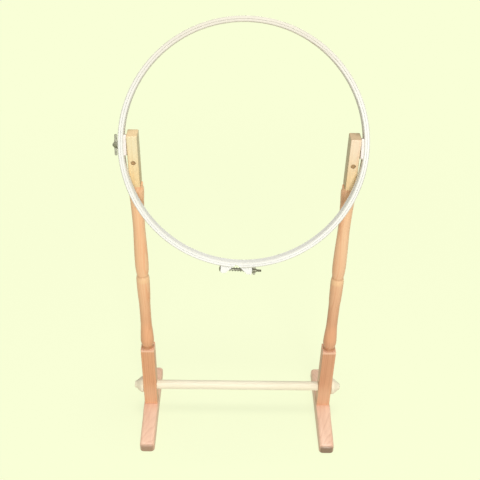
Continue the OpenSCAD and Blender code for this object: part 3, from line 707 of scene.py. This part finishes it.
def make_pivot_bolt():
    bm = bmesh.new()
    r, outer, thread, chamfer = 3.95 * mm, 305.75 * mm, 288.4 * mm, .3 * mm
    core = r - CORE
    turn(bm, [(0, BURIED), (r - 1 * mm, BURIED), (r, BURIED + 1 * mm), (r, thread - .4 * mm),
              (core, thread + .2 * mm), (core, outer - chamfer), (core - chamfer, outer), (0, outer)], 40)
    threaded(bm, thread, outer - 1.5 * mm, r, PIVOT_PITCH)
    return finish_piece(bm, "left_pivot_bolt_threaded", LEFT_PIVOT, "stand", sharp=30, even=False)


pivot_bolt = make_pivot_bolt()

# %% [markdown]
# ## Wing nuts
# A wing nut is cast, so its wings flow into the hub without an edge. Hub and wings are made as overlapping
# shapes, then a voxel remesh melts them into one skin and a few rounds of smoothing draw the corners in.

# %% Shape of one wing
def add_wing(bm, side, start, hub_r, hub_h, span, thick):
    """A round lobe whose inner half is drawn in to the hub."""
    lobe = hub_h * .36
    tip_x, tip_z = span / 2 - lobe, start + hub_h * .4
    wing = bmesh.ops.create_circle(bm, cap_ends=True, radius=lobe, segments=36)["verts"]
    bmesh.ops.rotate(bm, cent=(0, 0, 0), matrix=about(QUARTER, 3, "X"), verts=wing)
    bmesh.ops.translate(bm, vec=(side * tip_x, 0, tip_z), verts=wing)
    for v in wing:
        inward = (tip_x - side * v.co.x) / lobe
        share = max(0, (inward - .3) / .7)
        root_z = start + .49 * hub_h + (v.co.z - tip_z) / lobe * .8 * hub_h
        v.co.x += (side * hub_r * .5 - v.co.x) * share
        v.co.z += (min(max(root_z, start + .06 * hub_h), start + .9 * hub_h) - v.co.z) * share
    moved = thicken(bm, list({f for v in wing for f in v.link_faces}), (0, thick, 0))
    bmesh.ops.translate(bm, vec=(0, -thick / 2, 0), verts=moved + wing)


# %% Make the wing nuts
def make_wing_nut(name, place, body, start, hub_r, hub_h, span, thick, bore_r):
    bm = bmesh.new()
    end = start + hub_h
    turn(bm, [(0, start), (hub_r - .3 * mm, start), (hub_r, start + .4 * mm), (hub_r * .84, end - .6 * mm),
              (hub_r * .78, end), (0, end)], 48)
    for side in (-1, 1):
        add_wing(bm, side, start, hub_r, hub_h, span, thick)
    bmesh.ops.recalc_face_normals(bm, faces=bm.faces)
    draft = bpy.data.meshes.new("draft")
    bm.to_mesh(draft)
    bm.free()
    melt = new_object("draft", draft)
    remesh = melt.modifiers.new("melt", "REMESH")
    remesh.mode, remesh.voxel_size = "VOXEL", thick * .13
    bpy.context.view_layer.update()
    skin = bmesh.new()
    skin.from_mesh(melt.evaluated_get(bpy.context.evaluated_depsgraph_get()).data)
    bpy.data.objects.remove(melt)
    for _ in range(5):
        bmesh.ops.smooth_vert(skin, verts=skin.verts, factor=.5, use_axis_x=True, use_axis_y=True, use_axis_z=True)
    piece = finish_piece(skin, name, place, body, sharp=60, even=False)
    lip = start - 1 * mm
    hole = [(0, lip), (bore_r + 1.2 * mm, lip)] + straight(bore_r, start + .5 * mm, end + 2 * mm)[1:]
    bore(piece, [bit_of(hole, place)])
    piece.data.set_sharp_from_angle(angle=math.radians(50))
    return piece


closure_nut = make_wing_nut("closure_wing_nut_cast", BOLT @ about(QUARTER, 4, "Z"), "closure_nut",
                            40.15 * mm, 5.5 * mm, 9.5 * mm, 22.4 * mm, 2.4 * mm, 3.3 * mm)
pivot_nut = make_wing_nut("left_pivot_wing_nut_cast", at(PIVOT) @ about(-LEAN, 4, "X") @ ALONG_MINUS_X, "pivot_nut",
                          294.75 * mm, 7 * mm, 9 * mm, 50 * mm, 3 * mm, 4.1 * mm)

# %% [markdown]
# ## The right pivot screw
# Nothing stands out at the right pivot, so the inner ring turns there on a countersunk screw that the outer
# ring covers. Its head is one turned cone, and a thin cutter leaves the slot for the driver.

# %% Make the right pivot screw
def make_pivot_screw():
    bm = bmesh.new()
    head, r, rim = 285.7 * mm, 3 * mm, 5.5 * mm
    turn(bm, [(0, BURIED), (r - .8 * mm, BURIED), (r, BURIED + 1 * mm), (r, head - 2.5 * mm),
              (rim - .1 * mm, head - .2 * mm), (rim - .3 * mm, head), (0, head)], 40)
    piece = finish_piece(bm, "right_pivot_screw_slotted", RIGHT_PIVOT, "stand", sharp=30, even=False)
    bore(piece, [box_bit((12 * mm, 1.2 * mm, 3 * mm), (0, 0, head), RIGHT_PIVOT)])
    return piece


pivot_screw = make_pivot_screw()

# %% [markdown]
# ## Building materials
# A material is a small tree of nodes. `node` adds one node and sets it up, and `feed` either links or sets each
# of its inputs, so that a tree reads from top to bottom like a recipe. Colours are written as they are seen,
# from 0 to 255, and `tint` turns them into the linear values that the renderer counts in.

# %% Helpers for node trees
def tint(red, green, blue):
    return tuple(((c / 255 + .055) / 1.055) ** 2.4 if c > 10 else c / 3295 for c in (red, green, blue)) + (1,)


def feed(tree, sockets, values):
    for key, value in values.items():
        if isinstance(value, bpy.types.NodeSocket):
            tree.links.new(value, sockets[key])
        else:
            sockets[key].default_value = value


def node(tree, kind, inputs=None, **settings):
    made = tree.nodes.new("ShaderNode" + kind)
    for name, value in settings.items():
        setattr(made, name, value)
    feed(tree, made.inputs, inputs or {})
    return made


def maths(tree, operation, a, b=0.0, c=0.0, clamp=False):
    return node(tree, "Math", {0: a, 1: b, 2: c}, operation=operation, use_clamp=clamp).outputs[0]


def stretched(tree, vector, scale):
    return node(tree, "VectorMath", {0: vector, 1: scale}, operation="MULTIPLY").outputs[0]


def noise(tree, vector, scale, detail=2.0, roughness=.5):
    """Noise whose features are about 1 / scale metres across, given for each axis."""
    return node(tree, "TexNoise", {"Vector": stretched(tree, vector, scale), "Scale": 1.0, "Detail": detail,
                                   "Roughness": roughness}).outputs


def band(tree, value, low, high, to_low=0.0, to_high=1.0):
    return node(tree, "MapRange", {"Value": value, "From Min": low, "From Max": high, "To Min": to_low,
                                   "To Max": to_high}, interpolation_type="SMOOTHSTEP").outputs[0]


def blend(tree, factor, a, b):
    made = node(tree, "Mix", {"Factor": factor}, data_type="RGBA")
    feed(tree, made.inputs, {6: a, 7: b})
    return made.outputs[2]


def combined(tree, operation, a, b, out=0):
    return node(tree, "VectorMath", {0: a, 1: b}, operation=operation).outputs[out]


def magnitude(tree, vector):
    return node(tree, "VectorMath", {0: vector}, operation="LENGTH").outputs["Value"]


def off_axis(tree, position):
    """Distance from the Z axis."""
    return magnitude(tree, stretched(tree, position, (1, 1, 0)))


def new_group(name, inputs, outputs):
    tree = bpy.data.node_groups.new(name, "ShaderNodeTree")
    for way, sockets in (("INPUT", inputs), ("OUTPUT", outputs)):
        for label, kind, *start in sockets:
            socket = tree.interface.new_socket(label, in_out=way, socket_type="NodeSocket" + kind)
            if start:
                socket.default_value = start[0]
    print("group", name, "with", len(outputs), "outputs")
    return tree, tree.nodes.new("NodeGroupInput").outputs, tree.nodes.new("NodeGroupOutput").inputs


def new_material(name):
    made = bpy.data.materials.new(name)
    made.use_nodes = True
    tree = made.node_tree
    print("material", name)
    return made, tree, tree.nodes["Principled BSDF"], node(tree, "TexCoord").outputs


def use(tree, group, inputs):
    made = tree.nodes.new("ShaderNodeGroup")
    made.node_tree = group
    feed(tree, made.inputs, inputs)
    return made.outputs

# %% [markdown]
# ## Wood grain as one solid pattern
# A board is cut out of a trunk, so its grain is a pattern in space: growth rings about the heart of the tree,
# fine fibres along it, small dark flecks, and a slow drift of colour. A flat texture would have to be painted on
# each face. A solid one gives long lines on the sides and rings on the ends by itself, like real stock.
# The group takes a position whose Z runs along the grain.

# %% Wood grain group
wood_grain, given, put = new_group("wood_grain", [
    ("Position", "Vector"), ("Light", "Color"), ("Dark", "Color"), ("Ring gap", "Float", .004),
    ("Rings", "Float", .35), ("Fibres", "Float", .4), ("Drift", "Float", .5), ("Flecks", "Float", .3)],
    [("Color", "Color"), ("Rough", "Float"), ("Height", "Float")])
t, where = wood_grain, given["Position"]
sway = noise(t, where, (16, 16, 1.8), 2)["Color"]
wavy = combined(t, "ADD", stretched(t, sway, (.009, .009, 0)), where)
years = maths(t, "DIVIDE", off_axis(t, wavy), given["Ring gap"])
season = maths(t, "FRACT", years)
late_wood = maths(t, "MULTIPLY", band(t, season, .3, .88), band(t, season, .9, 1, 1, 0))
year = node(t, "TexWhiteNoise", {"W": maths(t, "FLOOR", years)}, noise_dimensions="1D").outputs["Value"]
late_wood = maths(t, "MULTIPLY", late_wood, band(t, year, 0, 1, .35, 1))
fibre = noise(t, where, (1100, 1100, 28), 3, .6)["Fac"]
streak = noise(t, where, (230, 230, 7), 3, .6)["Fac"]
fleck = band(t, noise(t, where, (700, 700, 110), 1)["Fac"], .63, .74)
drift = noise(t, where, (34, 34, 5), 2)["Fac"]
tone = maths(t, "MULTIPLY_ADD", late_wood, given["Rings"], 0.28)
for pattern, strength in ((fibre, "Fibres"), (streak, "Fibres"), (drift, "Drift")):
    tone = maths(t, "MULTIPLY_ADD", maths(t, "SUBTRACT", pattern, .5), given[strength], tone)
tone = maths(t, "MULTIPLY_ADD", fleck, given["Flecks"], tone, True)
gloss = maths(t, "MULTIPLY_ADD", streak, .5, maths(t, "MULTIPLY", drift, .5), True)
grit = maths(t, "MULTIPLY_ADD", fleck, -.7, maths(t, "MULTIPLY_ADD", late_wood, -.25, fibre))
feed(t, put, {"Color": blend(t, tone, given["Light"], given["Dark"]), "Rough": gloss, "Height": grit})

# %% [markdown]
# ## Worn edges and edge highlights
# Hands and cloth rub the finish off the outer edges first, and on the wood the paler edge colour also stands as a
# painted highlight along the edges. The Bevel node looks up the surface as if its edges were rounded, and where
# that differs from the true surface there is an edge. Noise breaks the band up, because wear is never even. The
# group puts out a mask only.

# %% Edge wear and highlight group
edge_wear_and_highlight, given, put = new_group("edge_wear_and_highlight", [
    ("Position", "Vector"), ("Width", "Float", .001), ("Amount", "Float", .5)], [("Mask", "Float")])
t = edge_wear_and_highlight
soft = node(t, "Bevel", {"Radius": given["Width"]}, samples=6).outputs[0]
alike = combined(t, "DOT_PRODUCT", soft, node(t, "NewGeometry").outputs["Normal"], "Value")
edge = band(t, maths(t, "SUBTRACT", 1, alike), .01, .16)
patchy = band(t, noise(t, given["Position"], (150, 150, 150), 3, .6)["Fac"], .32, .62)
t.links.new(maths(t, "MULTIPLY", maths(t, "MULTIPLY", edge, patchy), given["Amount"], 0, True), put["Mask"])

# %% [markdown]
# ## Faces that look one way
# A cut end drinks more finish than a side, so it is darker, and the same mask also darkens faces that the lamps
# reach less, as painted shade. The mask compares the surface's own normal with one direction, such as the way
# that the grain runs.

# %% Facing mask group
facing_mask, given, put = new_group("facing_mask", [
    ("Normal", "Vector"), ("Along", "Vector", (0, 0, 1))], [("Mask", "Float")])
t = facing_mask
facing = combined(t, "DOT_PRODUCT", given["Normal"], given["Along"], "Value")
t.links.new(band(t, maths(t, "ABSOLUTE", facing), .3, .95), put["Mask"])

# %% [markdown]
# ## Grain that follows the hoop
# A steamed strip keeps its straight grain, and the grain is bent with it. So the hoop's own position is turned
# into strip coordinates: how far out, how far across, and how far round. The jump at half a turn lies at the
# lowest point, behind the closure.

# %% Strip coordinates group
round_the_hoop, given, put = new_group("round_the_hoop", [("Position", "Vector")], [("Grain", "Vector")])
t = round_the_hoop
parts = node(t, "SeparateXYZ", {0: given["Position"]}).outputs
round_by = maths(t, "MULTIPLY", maths(t, "ARCTAN2", parts["X"], parts["Y"]), INNER_OUT_R)
strip = node(t, "CombineXYZ", {"X": off_axis(t, given["Position"]), "Y": parts["Z"], "Z": round_by}).outputs[0]
t.links.new(strip, put["Grain"])

# %% [markdown]
# The inner ring is closed by a scarf joint: both ends are planed to a long wedge and glued. On the ring's edge it
# shows as a thin slanting line, and on its faces as one line straight across. The group draws that line.

# %% Scarf joint group
scarf_joint, given, put = new_group("scarf_joint", [
    ("Grain", "Vector"), ("Start", "Float", .2), ("Length", "Float", .07), ("Inner", "Float", INNER_R),
    ("Thickness", "Float", INNER_OUT_R - INNER_R)], [("Mask", "Float")])
t = scarf_joint
parts = node(t, "SeparateXYZ", {0: given["Grain"]}).outputs
done = maths(t, "DIVIDE", maths(t, "SUBTRACT", parts["Z"], given["Start"]), given["Length"])
depth = maths(t, "DIVIDE", maths(t, "SUBTRACT", parts["X"], given["Inner"]), given["Thickness"])
off_line = maths(t, "MULTIPLY", maths(t, "ABSOLUTE", maths(t, "SUBTRACT", depth, done)), given["Thickness"])
inside = maths(t, "MULTIPLY", maths(t, "GREATER_THAN", done, -.02), maths(t, "LESS_THAN", done, 1.02))
t.links.new(maths(t, "MULTIPLY", band(t, off_line, .00012, .0004, 1, 0), inside), put["Mask"])

# %% [markdown]
# ## Plated steel
# The bolts and nuts are plated and dull. The plate is cloudy, it is rubbed bright on high places and it holds
# fine scratches. The group gives a colour, a roughness and a height that vary together.

# %% Plated steel group
dull_plate, given, put = new_group("dull_plate", [
    ("Position", "Vector"), ("Light", "Color"), ("Dark", "Color")],
    [("Color", "Color"), ("Rough", "Float"), ("Height", "Float")])
t, where = dull_plate, given["Position"]
cloud = noise(t, where, (170, 170, 170), 3, .6)["Fac"]
scratch = noise(t, where, (260, 3200, 3200), 2)["Fac"]
cells = node(t, "TexVoronoi", {"Vector": stretched(t, where, (900, 900, 900)), "Scale": 1.0})
spangle = cells.outputs["Distance"]
tone = maths(t, "MULTIPLY_ADD", cloud, 1.1, maths(t, "MULTIPLY_ADD", spangle, .3, -.3), True)
gloss = band(t, maths(t, "MULTIPLY_ADD", scratch, .5, maths(t, "MULTIPLY", cloud, .5)), .3, .7, .32, .62)
feed(t, put, {"Color": blend(t, tone, given["Light"], given["Dark"]), "Rough": gloss,
              "Height": maths(t, "MULTIPLY_ADD", spangle, .4, scratch)})

# %% [markdown]
# ## One recipe for every wood
# The stand is varnished, the crossbar and the hoop are bare, but all are sanded wood. So one recipe builds a
# wood from its colours, the place and way of its grain, and how shiny it is. The Mapping node lays the grain's
# Z along the piece and moves the tree's heart off to one side, which gives long arched lines. `ends` colours
# the faces that look one way, as end grain and as painted shade, `fades` changes the colours between two heights,
# which on the stand paints the fall of light, `marks` colours single heights, with painted shade and painted
# highlights on the posts, and `rim` does the same at a distance from the middle of the hoop, for a line of
# painted shade on its rounded edges.

# %% The wood recipe
def wood(name, light, dark, heart=(0, 0, 0), turned=(0, 0, 0), gap=.004, rings=.35, fibres=.45, drift=.5,
         flecks=.25, rough=(.42, .6), coat=0.0, bump=.25, worn_and_highlight_tone=(255, 240, 215), edge_amount=.5, edge_width=.0014,
         ends=(), fades=None, marks=(), strip=False, rim=None, scarf=None):
    made, tree, shader, where = new_material(name)
    position = node(tree, "Mapping", {"Vector": where["Object"], "Location": heart, "Rotation": turned},
                    vector_type="TEXTURE").outputs[0]
    if strip:
        position = use(tree, round_the_hoop, {"Position": position})["Grain"]
    up = node(tree, "SeparateXYZ", {0: where["Object"]}).outputs["Z"]
    light, dark = tint(*light), tint(*dark)
    if fades:
        low, high, pale, deep = fades
        risen = band(tree, up, low, high)
        light, dark = blend(tree, risen, light, tint(*pale)), blend(tree, risen, dark, tint(*deep))
    grain = use(tree, wood_grain, {"Position": position, "Light": light, "Dark": dark, "Ring gap": gap,
                                   "Rings": rings, "Fibres": fibres, "Drift": drift, "Flecks": flecks})
    colour, height = grain["Color"], grain["Height"]
    # Faces that look one way take a tone: darker end grain, and painted shade on faces that the lamps reach less.
    for along, strength, tone in ends:
        cut = use(tree, facing_mask, {"Normal": where["Normal"], "Along": along})["Mask"]
        colour = blend(tree, maths(tree, "MULTIPLY", cut, strength), colour, tint(*tone))
    # Marks at single heights: on the posts, painted shade in the grooves and painted highlights beside them.
    lines = [(up, level, reach * .25, reach, strength, tone) for level, reach, strength, tone in marks]
    # The rim line paints shade along the hoop's rounded edges.
    if rim:
        out = node(tree, "SeparateXYZ", {0: position}).outputs["X"]
        lines.append((out, rim[0], 0, *rim[1:]))
    for along, middle, full, reach, strength, tone in lines:
        away = maths(tree, "ABSOLUTE", maths(tree, "SUBTRACT", along, middle))
        colour = blend(tree, band(tree, away, full, reach, strength, 0), colour, tint(*tone))
    if scarf:
        line = use(tree, scarf_joint, {"Grain": position, "Start": scarf})["Mask"]
        colour = blend(tree, maths(tree, "MULTIPLY", line, .7), colour, tint(150, 118, 78))
        height = maths(tree, "SUBTRACT", height, line)
    # Paler edges: worn finish, and on the wood also a painted highlight along the edges.
    edge_mask = use(tree, edge_wear_and_highlight, {"Position": where["Object"], "Width": edge_width, "Amount": edge_amount})["Mask"]
    gloss = maths(tree, "MULTIPLY_ADD", grain["Rough"], rough[1] - rough[0], rough[0])
    relief = node(tree, "Bump", {"Height": height, "Strength": bump, "Distance": .00035}).outputs[0]
    feed(tree, shader.inputs, {
        "Base Color": blend(tree, edge_mask, colour, tint(*worn_and_highlight_tone)), "Normal": relief, "Coat Weight": coat,
        "Roughness": maths(tree, "MULTIPLY_ADD", edge_mask, .12, gloss), "Coat Roughness": .22,
        "Specular IOR Level": .35})
    return made

# %% [markdown]
# The metals need a shorter recipe, because their plate has no direction.

# %% Recipe for plated steel
def plated(name, light, dark):
    made, tree, shader, where = new_material(name)
    plate = use(tree, dull_plate, {"Position": where["Object"], "Light": tint(*light), "Dark": tint(*dark)})
    edge_mask = use(tree, edge_wear_and_highlight, {"Position": where["Object"], "Width": .0006, "Amount": .8})["Mask"]
    relief = node(tree, "Bump", {"Height": plate["Height"], "Strength": .12, "Distance": .0001}).outputs[0]
    feed(tree, shader.inputs, {
        "Base Color": blend(tree, edge_mask, plate["Color"], tint(232, 230, 222)), "Normal": relief, "Metallic": 1,
        "Roughness": maths(tree, "MULTIPLY_ADD", edge_mask, -.12, plate["Rough"])})
    return made

# %% [markdown]
# ## Painted shade and highlights on the posts
# The groove above the shoulder and the neck groove get dark lines of painted shade, and the shoulder and the swell
# just below the neck get pale bands as painted highlights. The square part is paler up to about 140 mm, and the
# lowest swell is a little redder. All lie at heights that are known from the turning. So a mark is a height, a
# reach, a strength and a colour, and the material compares each point with it.

# %% The painted shade, highlights and colour bands of the posts
TURNED = TOP_JOINT_Z - SHOULDER_Z
POST_BANDS_AND_PAINTED_LIGHT = [
    # A paler square part, a painted highlight on the shoulder, painted shade in the groove above it, a redder
    # swell.
    (70 * mm, 70 * mm, .3, (246, 204, 166)), (SHOULDER_Z - 3 * mm, 6 * mm, .8, (255, 208, 176)),
    (SHOULDER_Z + 6 * mm, 9 * mm, .45, (168, 106, 68)), (SHOULDER_Z + 62 * mm, 50 * mm, .4, (255, 188, 140)),
    # Painted shade in the neck groove, and a painted highlight on the swell below it.
    (SHOULDER_Z + .480 * TURNED, 5 * mm, .3, (178, 116, 74)),
    (SHOULDER_Z + .462 * TURNED, 14 * mm, .55, (255, 214, 164))]
print("marks at", [round(mark[0], 4) for mark in POST_BANDS_AND_PAINTED_LIGHT])

# %% [markdown]
# ## The stand's varnished wood
# The varnish is honey coloured. Each post is painted darker and redder near the floor and paler towards the top,
# as painted light that falls off away from the lamps above, and its separate top block is painted the palest,
# paler still towards its top. The feet are a little pinker. Each piece is cut from its own board, so each gets
# its own heart.

# %% Varnished woods
FRONT_TO_BACK, LEFT_TO_RIGHT = (QUARTER, 0, 0), (0, QUARTER, 0)
FACES_UP, FACES_SIDE, FACES_FRONT = (0, 0, 1), (1, 0, 0), (0, 1, 0)
VARNISH = dict(rough=(.36, .52), coat=.2, gap=.0035, rings=.3, fibres=.42, drift=.8, worn_and_highlight_tone=(255, 236, 205), edge_amount=.4)
# The fades paint the light falling off from the top of each post down to its foot.
post_left_wood = wood(
    "honey_post_left", (240, 182, 137), (202, 134, 92), heart=(-.285, .03, 0),
    fades=(.29, .55, (255, 213, 167), (244, 168, 119)), marks=POST_BANDS_AND_PAINTED_LIGHT, **VARNISH)
post_right_wood = wood(
    "honey_post_right", (234, 178, 137), (196, 130, 94), heart=(.29, .024, 0),
    fades=(.31, .60, (255, 214, 171), (238, 168, 122)), marks=POST_BANDS_AND_PAINTED_LIGHT, **VARNISH)
# The blocks' inner sides are darkened as painted shade. Their tops are darker as end grain, and the right one more,
# as a painted shadow of the ring.
block_left_wood = wood(
    "honey_block_left", (250, 223, 171), (226, 187, 129), heart=(-.23, .05, .3),
    fades=(.82, .93, (255, 241, 201), (238, 214, 162)),
    ends=[(FACES_UP, .85, (222, 190, 144)), (FACES_SIDE, .5, (150, 120, 70))], **VARNISH)
block_right_wood = wood(
    "honey_block_right", (252, 224, 176), (226, 190, 134), heart=(.238, .045, .1),
    fades=(.82, .93, (255, 240, 211), (250, 212, 178)),
    ends=[(FACES_UP, .85, (186, 156, 120)), (FACES_SIDE, .6, (140, 116, 66))], **VARNISH)
# The feet's front ends are darker as end grain and as painted shade, the right one most.
foot_left_wood = wood(
    "honey_foot_left", (251, 212, 184), (220, 168, 138), heart=(-.24, 0, -.03), turned=FRONT_TO_BACK,
    ends=[(FACES_FRONT, .85, (158, 126, 102))], **VARNISH)
foot_right_wood = wood(
    "honey_foot_right", (250, 212, 184), (218, 168, 138), heart=(.285, 0, -.025), turned=FRONT_TO_BACK,
    ends=[(FACES_FRONT, .9, (128, 104, 84))], **VARNISH)
peg_wood = wood(
    "peg_end_grain", (200, 166, 120), (140, 104, 68), heart=(.262, 0, .874), turned=FRONT_TO_BACK, gap=.0016,
    rings=.6, rough=(.45, .65), edge_amount=.2)

# %% [markdown]
# ## Bare pale wood
# The crossbar, its knobs and the hoop are bare sanded birch. Bare wood is dull, with a faint silky line along
# the grain. The hoop's grain follows the strip, its rounded edges get a grey line of painted shade, and it is a
# little darker where it stands highest. The painted shade line is given by its distance from the middle of the
# hoop.

# %% Bare woods
BARE = dict(rough=(.5, .66), gap=.0028, rings=.22, fibres=.34, drift=.5, flecks=.14, edge_amount=.25, edge_width=.001)
BENT = dict(BARE, flecks=.05, bump=.12, rings=.3, strip=True, heart=tuple(PIVOT), turned=(QUARTER - LEAN, 0, 0),
            fades=(.96, 1.2, (236, 229, 214), (214, 206, 188)), worn_and_highlight_tone=(246, 242, 230))
# A grey line of painted shade along the rounded edges of both rings.
RIM_REACH, RIM_STRENGTH, RIM_PAINTED_SHADE = .0014, .6, (196, 193, 172)
bar_wood = wood(
    "cream_bar", (255, 249, 224), (228, 212, 178), heart=(0, .03, .09), turned=LEFT_TO_RIGHT,
    worn_and_highlight_tone=(255, 250, 236), **BARE)
knob_wood = wood(
    "cream_knob", (252, 245, 220), (224, 205, 168), heart=(0, .012, .118), turned=LEFT_TO_RIGHT,
    worn_and_highlight_tone=(255, 250, 236), **BARE)
inner_wood = wood(
    "pale_inner_ring", (248, 247, 241), (222, 219, 207), rim=(.2808, RIM_REACH, RIM_STRENGTH, RIM_PAINTED_SHADE), scarf=.16,
    **BENT)
outer_wood = wood(
    "pale_outer_ring", (248, 247, 241), (222, 219, 208), rim=(.2916, RIM_REACH, RIM_STRENGTH, RIM_PAINTED_SHADE), **BENT)
small_wood = wood(
    "pale_blocks", (247, 247, 241), (222, 219, 208), heart=(0, -.1, .66), turned=LEFT_TO_RIGHT,
    worn_and_highlight_tone=(248, 245, 234), **BARE)
pad_wood = wood(
    "pale_pads", (246, 238, 232), (224, 212, 202), heart=(0, -.03, .9), worn_and_highlight_tone=(248, 244, 238), **BARE)

# %% Metals
zinc = plated("dull_zinc", (164, 162, 150), (92, 90, 82))
spring_steel = plated("drawn_wire", (164, 164, 160), (104, 104, 102))

# %% [markdown]
# ## Dressing the pieces
# Each new piece takes its material. The hidden fasteners keep their measured shape and get the same metal and
# wood.

# %% Give every piece its finish
def dress(pieces, material):
    for piece in pieces:
        piece.data.materials.clear()
        piece.data.materials.append(material)
    print(material.name, "on", [piece.name for piece in pieces])


dress([left_post], post_left_wood)
dress([right_post], post_right_wood)
dress([left_top_block], block_left_wood)
dress([right_top_block], block_right_wood)
dress([left_foot], foot_left_wood)
dress([right_foot], foot_right_wood)
dress([left_peg, right_peg], peg_wood)
dress([crossbar], bar_wood)
dress([left_knob, right_knob], knob_wood)
dress([inner_ring], inner_wood)
dress([outer_ring], outer_wood)
dress([left_pad, right_pad], pad_wood)
dress([left_closure, right_closure], small_wood)
dress([closure_bolt, closure_washer, closure_nut], zinc)
dress([pivot_bolt, pivot_washer, pivot_nut, pivot_screw], zinc)
dress([closure_spring], spring_steel)
hidden = {"foot_bolts": zinc, "foot_washers": zinc, "closure_block_screws": zinc, "foot_dowels": bar_wood}
for name, material in hidden.items():
    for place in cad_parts[name].material_slots:
        place.material = material

# %% [markdown]
# ## Floor and background
# The floor is a wide sheet of pale paper. For the lamps it is an ordinary matt surface, so it throws light up
# and takes the hoop's shadow. For the camera, and in the metal's reflections, most of it is a flat colour, which
# keeps the background even, and a few steps away from the hoop it is flat altogether. The world shows the
# same colour there, so no horizon is seen.

# %% Floor and world
PAPER, PAPER_IN_LAMPLIGHT = tint(249, 255, 215), tint(205, 204, 188)


def seen_directly(tree):
    rays = node(tree, "LightPath").outputs
    seen = maths(tree, "MAXIMUM", rays["Is Camera Ray"], rays["Is Glossy Ray"])
    return maths(tree, "MAXIMUM", seen, rays["Is Transmission Ray"])


sheet = bmesh.new()
bmesh.ops.create_grid(sheet, x_segments=1, y_segments=1, size=30)
floor_mesh = bpy.data.meshes.new("paper_floor")
sheet.to_mesh(floor_mesh)
sheet.free()
floor = new_object("paper_floor", floor_mesh)
paper, tree, matt, where = new_material("pale_paper")
seen = seen_directly(tree)
feed(tree, matt.inputs, {"Base Color": blend(tree, seen, PAPER_IN_LAMPLIGHT, PAPER), "Roughness": 1,
                         "Specular IOR Level": 0})
flat = node(tree, "Emission", {"Color": PAPER, "Strength": 1.0})
share = maths(tree, "MULTIPLY", seen, band(tree, magnitude(tree, where["Object"]), .8, 2.4, .84, 1))
mixed = node(tree, "MixShader", {0: share, 1: matt.outputs[0], 2: flat.outputs[0]})
tree.links.new(mixed.outputs[0], tree.nodes["Material Output"].inputs["Surface"])
floor_mesh.materials.append(paper)

world = bpy.data.worlds.new("studio")
bpy.context.scene.world = world
world.use_nodes = True
tree = world.node_tree
lit = tree.nodes["Background"]
feed(tree, lit.inputs, {"Color": (1, 1, 1, 1), "Strength": .3})
shown = node(tree, "Background", {"Color": PAPER, "Strength": 1.0})
mixed = node(tree, "MixShader", {0: seen_directly(tree), 1: lit.outputs[0], 2: shown.outputs[0]})
tree.links.new(mixed.outputs[0], tree.nodes["World Output"].inputs["Surface"])
print("paper", PAPER)

# %% [markdown]
# ## Lamps
# The photograph's light is soft, from the front and above and a little from the right. A broad lamp overhead
# makes the upper faces and shoulders bright, and a second one in front fills the faces that look at the quilter.

# %% Lamps
LAMP_SIZE, LAMP_POWER = 3.2, 436


def soft_lamp(name, place, aim):
    lamp = bpy.data.lights.new(name, "AREA")
    lamp.shape, lamp.size, lamp.energy = "DISK", LAMP_SIZE, LAMP_POWER
    held = bpy.data.objects.new(name, lamp)
    direction = Vector(aim) - Vector(place)
    held.matrix_world = at(place) @ direction.to_track_quat("-Z", "Y").to_matrix().to_4x4()
    bpy.context.scene.collection.objects.link(held)
    print(name, LAMP_POWER, "W from", place)


soft_lamp("overhead_lamp", (.4, -.3, 9), (0, 0, .5))
soft_lamp("front_lamp", (1.2, -8.6, 3.6), (0, 0, .6))

# %% [markdown]
# ## The camera
# The photograph looks down on the hoop from the front, from about 36 degrees above level, with the frame turned a
# little. The camera's axes are written out from those angles, which is exact and easy to check.

# %% Camera
EYE = (-.0317, -1.5112, 1.7223)
camera_data = bpy.data.cameras.new("photo_camera")
camera_data.sensor_width, camera_data.lens = 36, 54.31
camera = bpy.data.objects.new("photo_camera", camera_data)
yaw, tilt, roll = math.radians(1.07), math.radians(35.59), math.radians(-1.43)
forward = Vector((math.sin(yaw) * math.cos(tilt), math.cos(yaw) * math.cos(tilt), -math.sin(tilt)))
level = Vector((math.cos(yaw), -math.sin(yaw), 0))
below = forward.cross(level)
side = level * math.cos(roll) + below * math.sin(roll)
under = below * math.cos(roll) - level * math.sin(roll)
axes = Matrix((side, -under, -forward)).transposed()
camera.matrix_world = at(EYE) @ axes.to_4x4()
bpy.context.scene.collection.objects.link(camera)
bpy.context.scene.camera = camera
bpy.context.scene.view_settings.view_transform = "Standard"
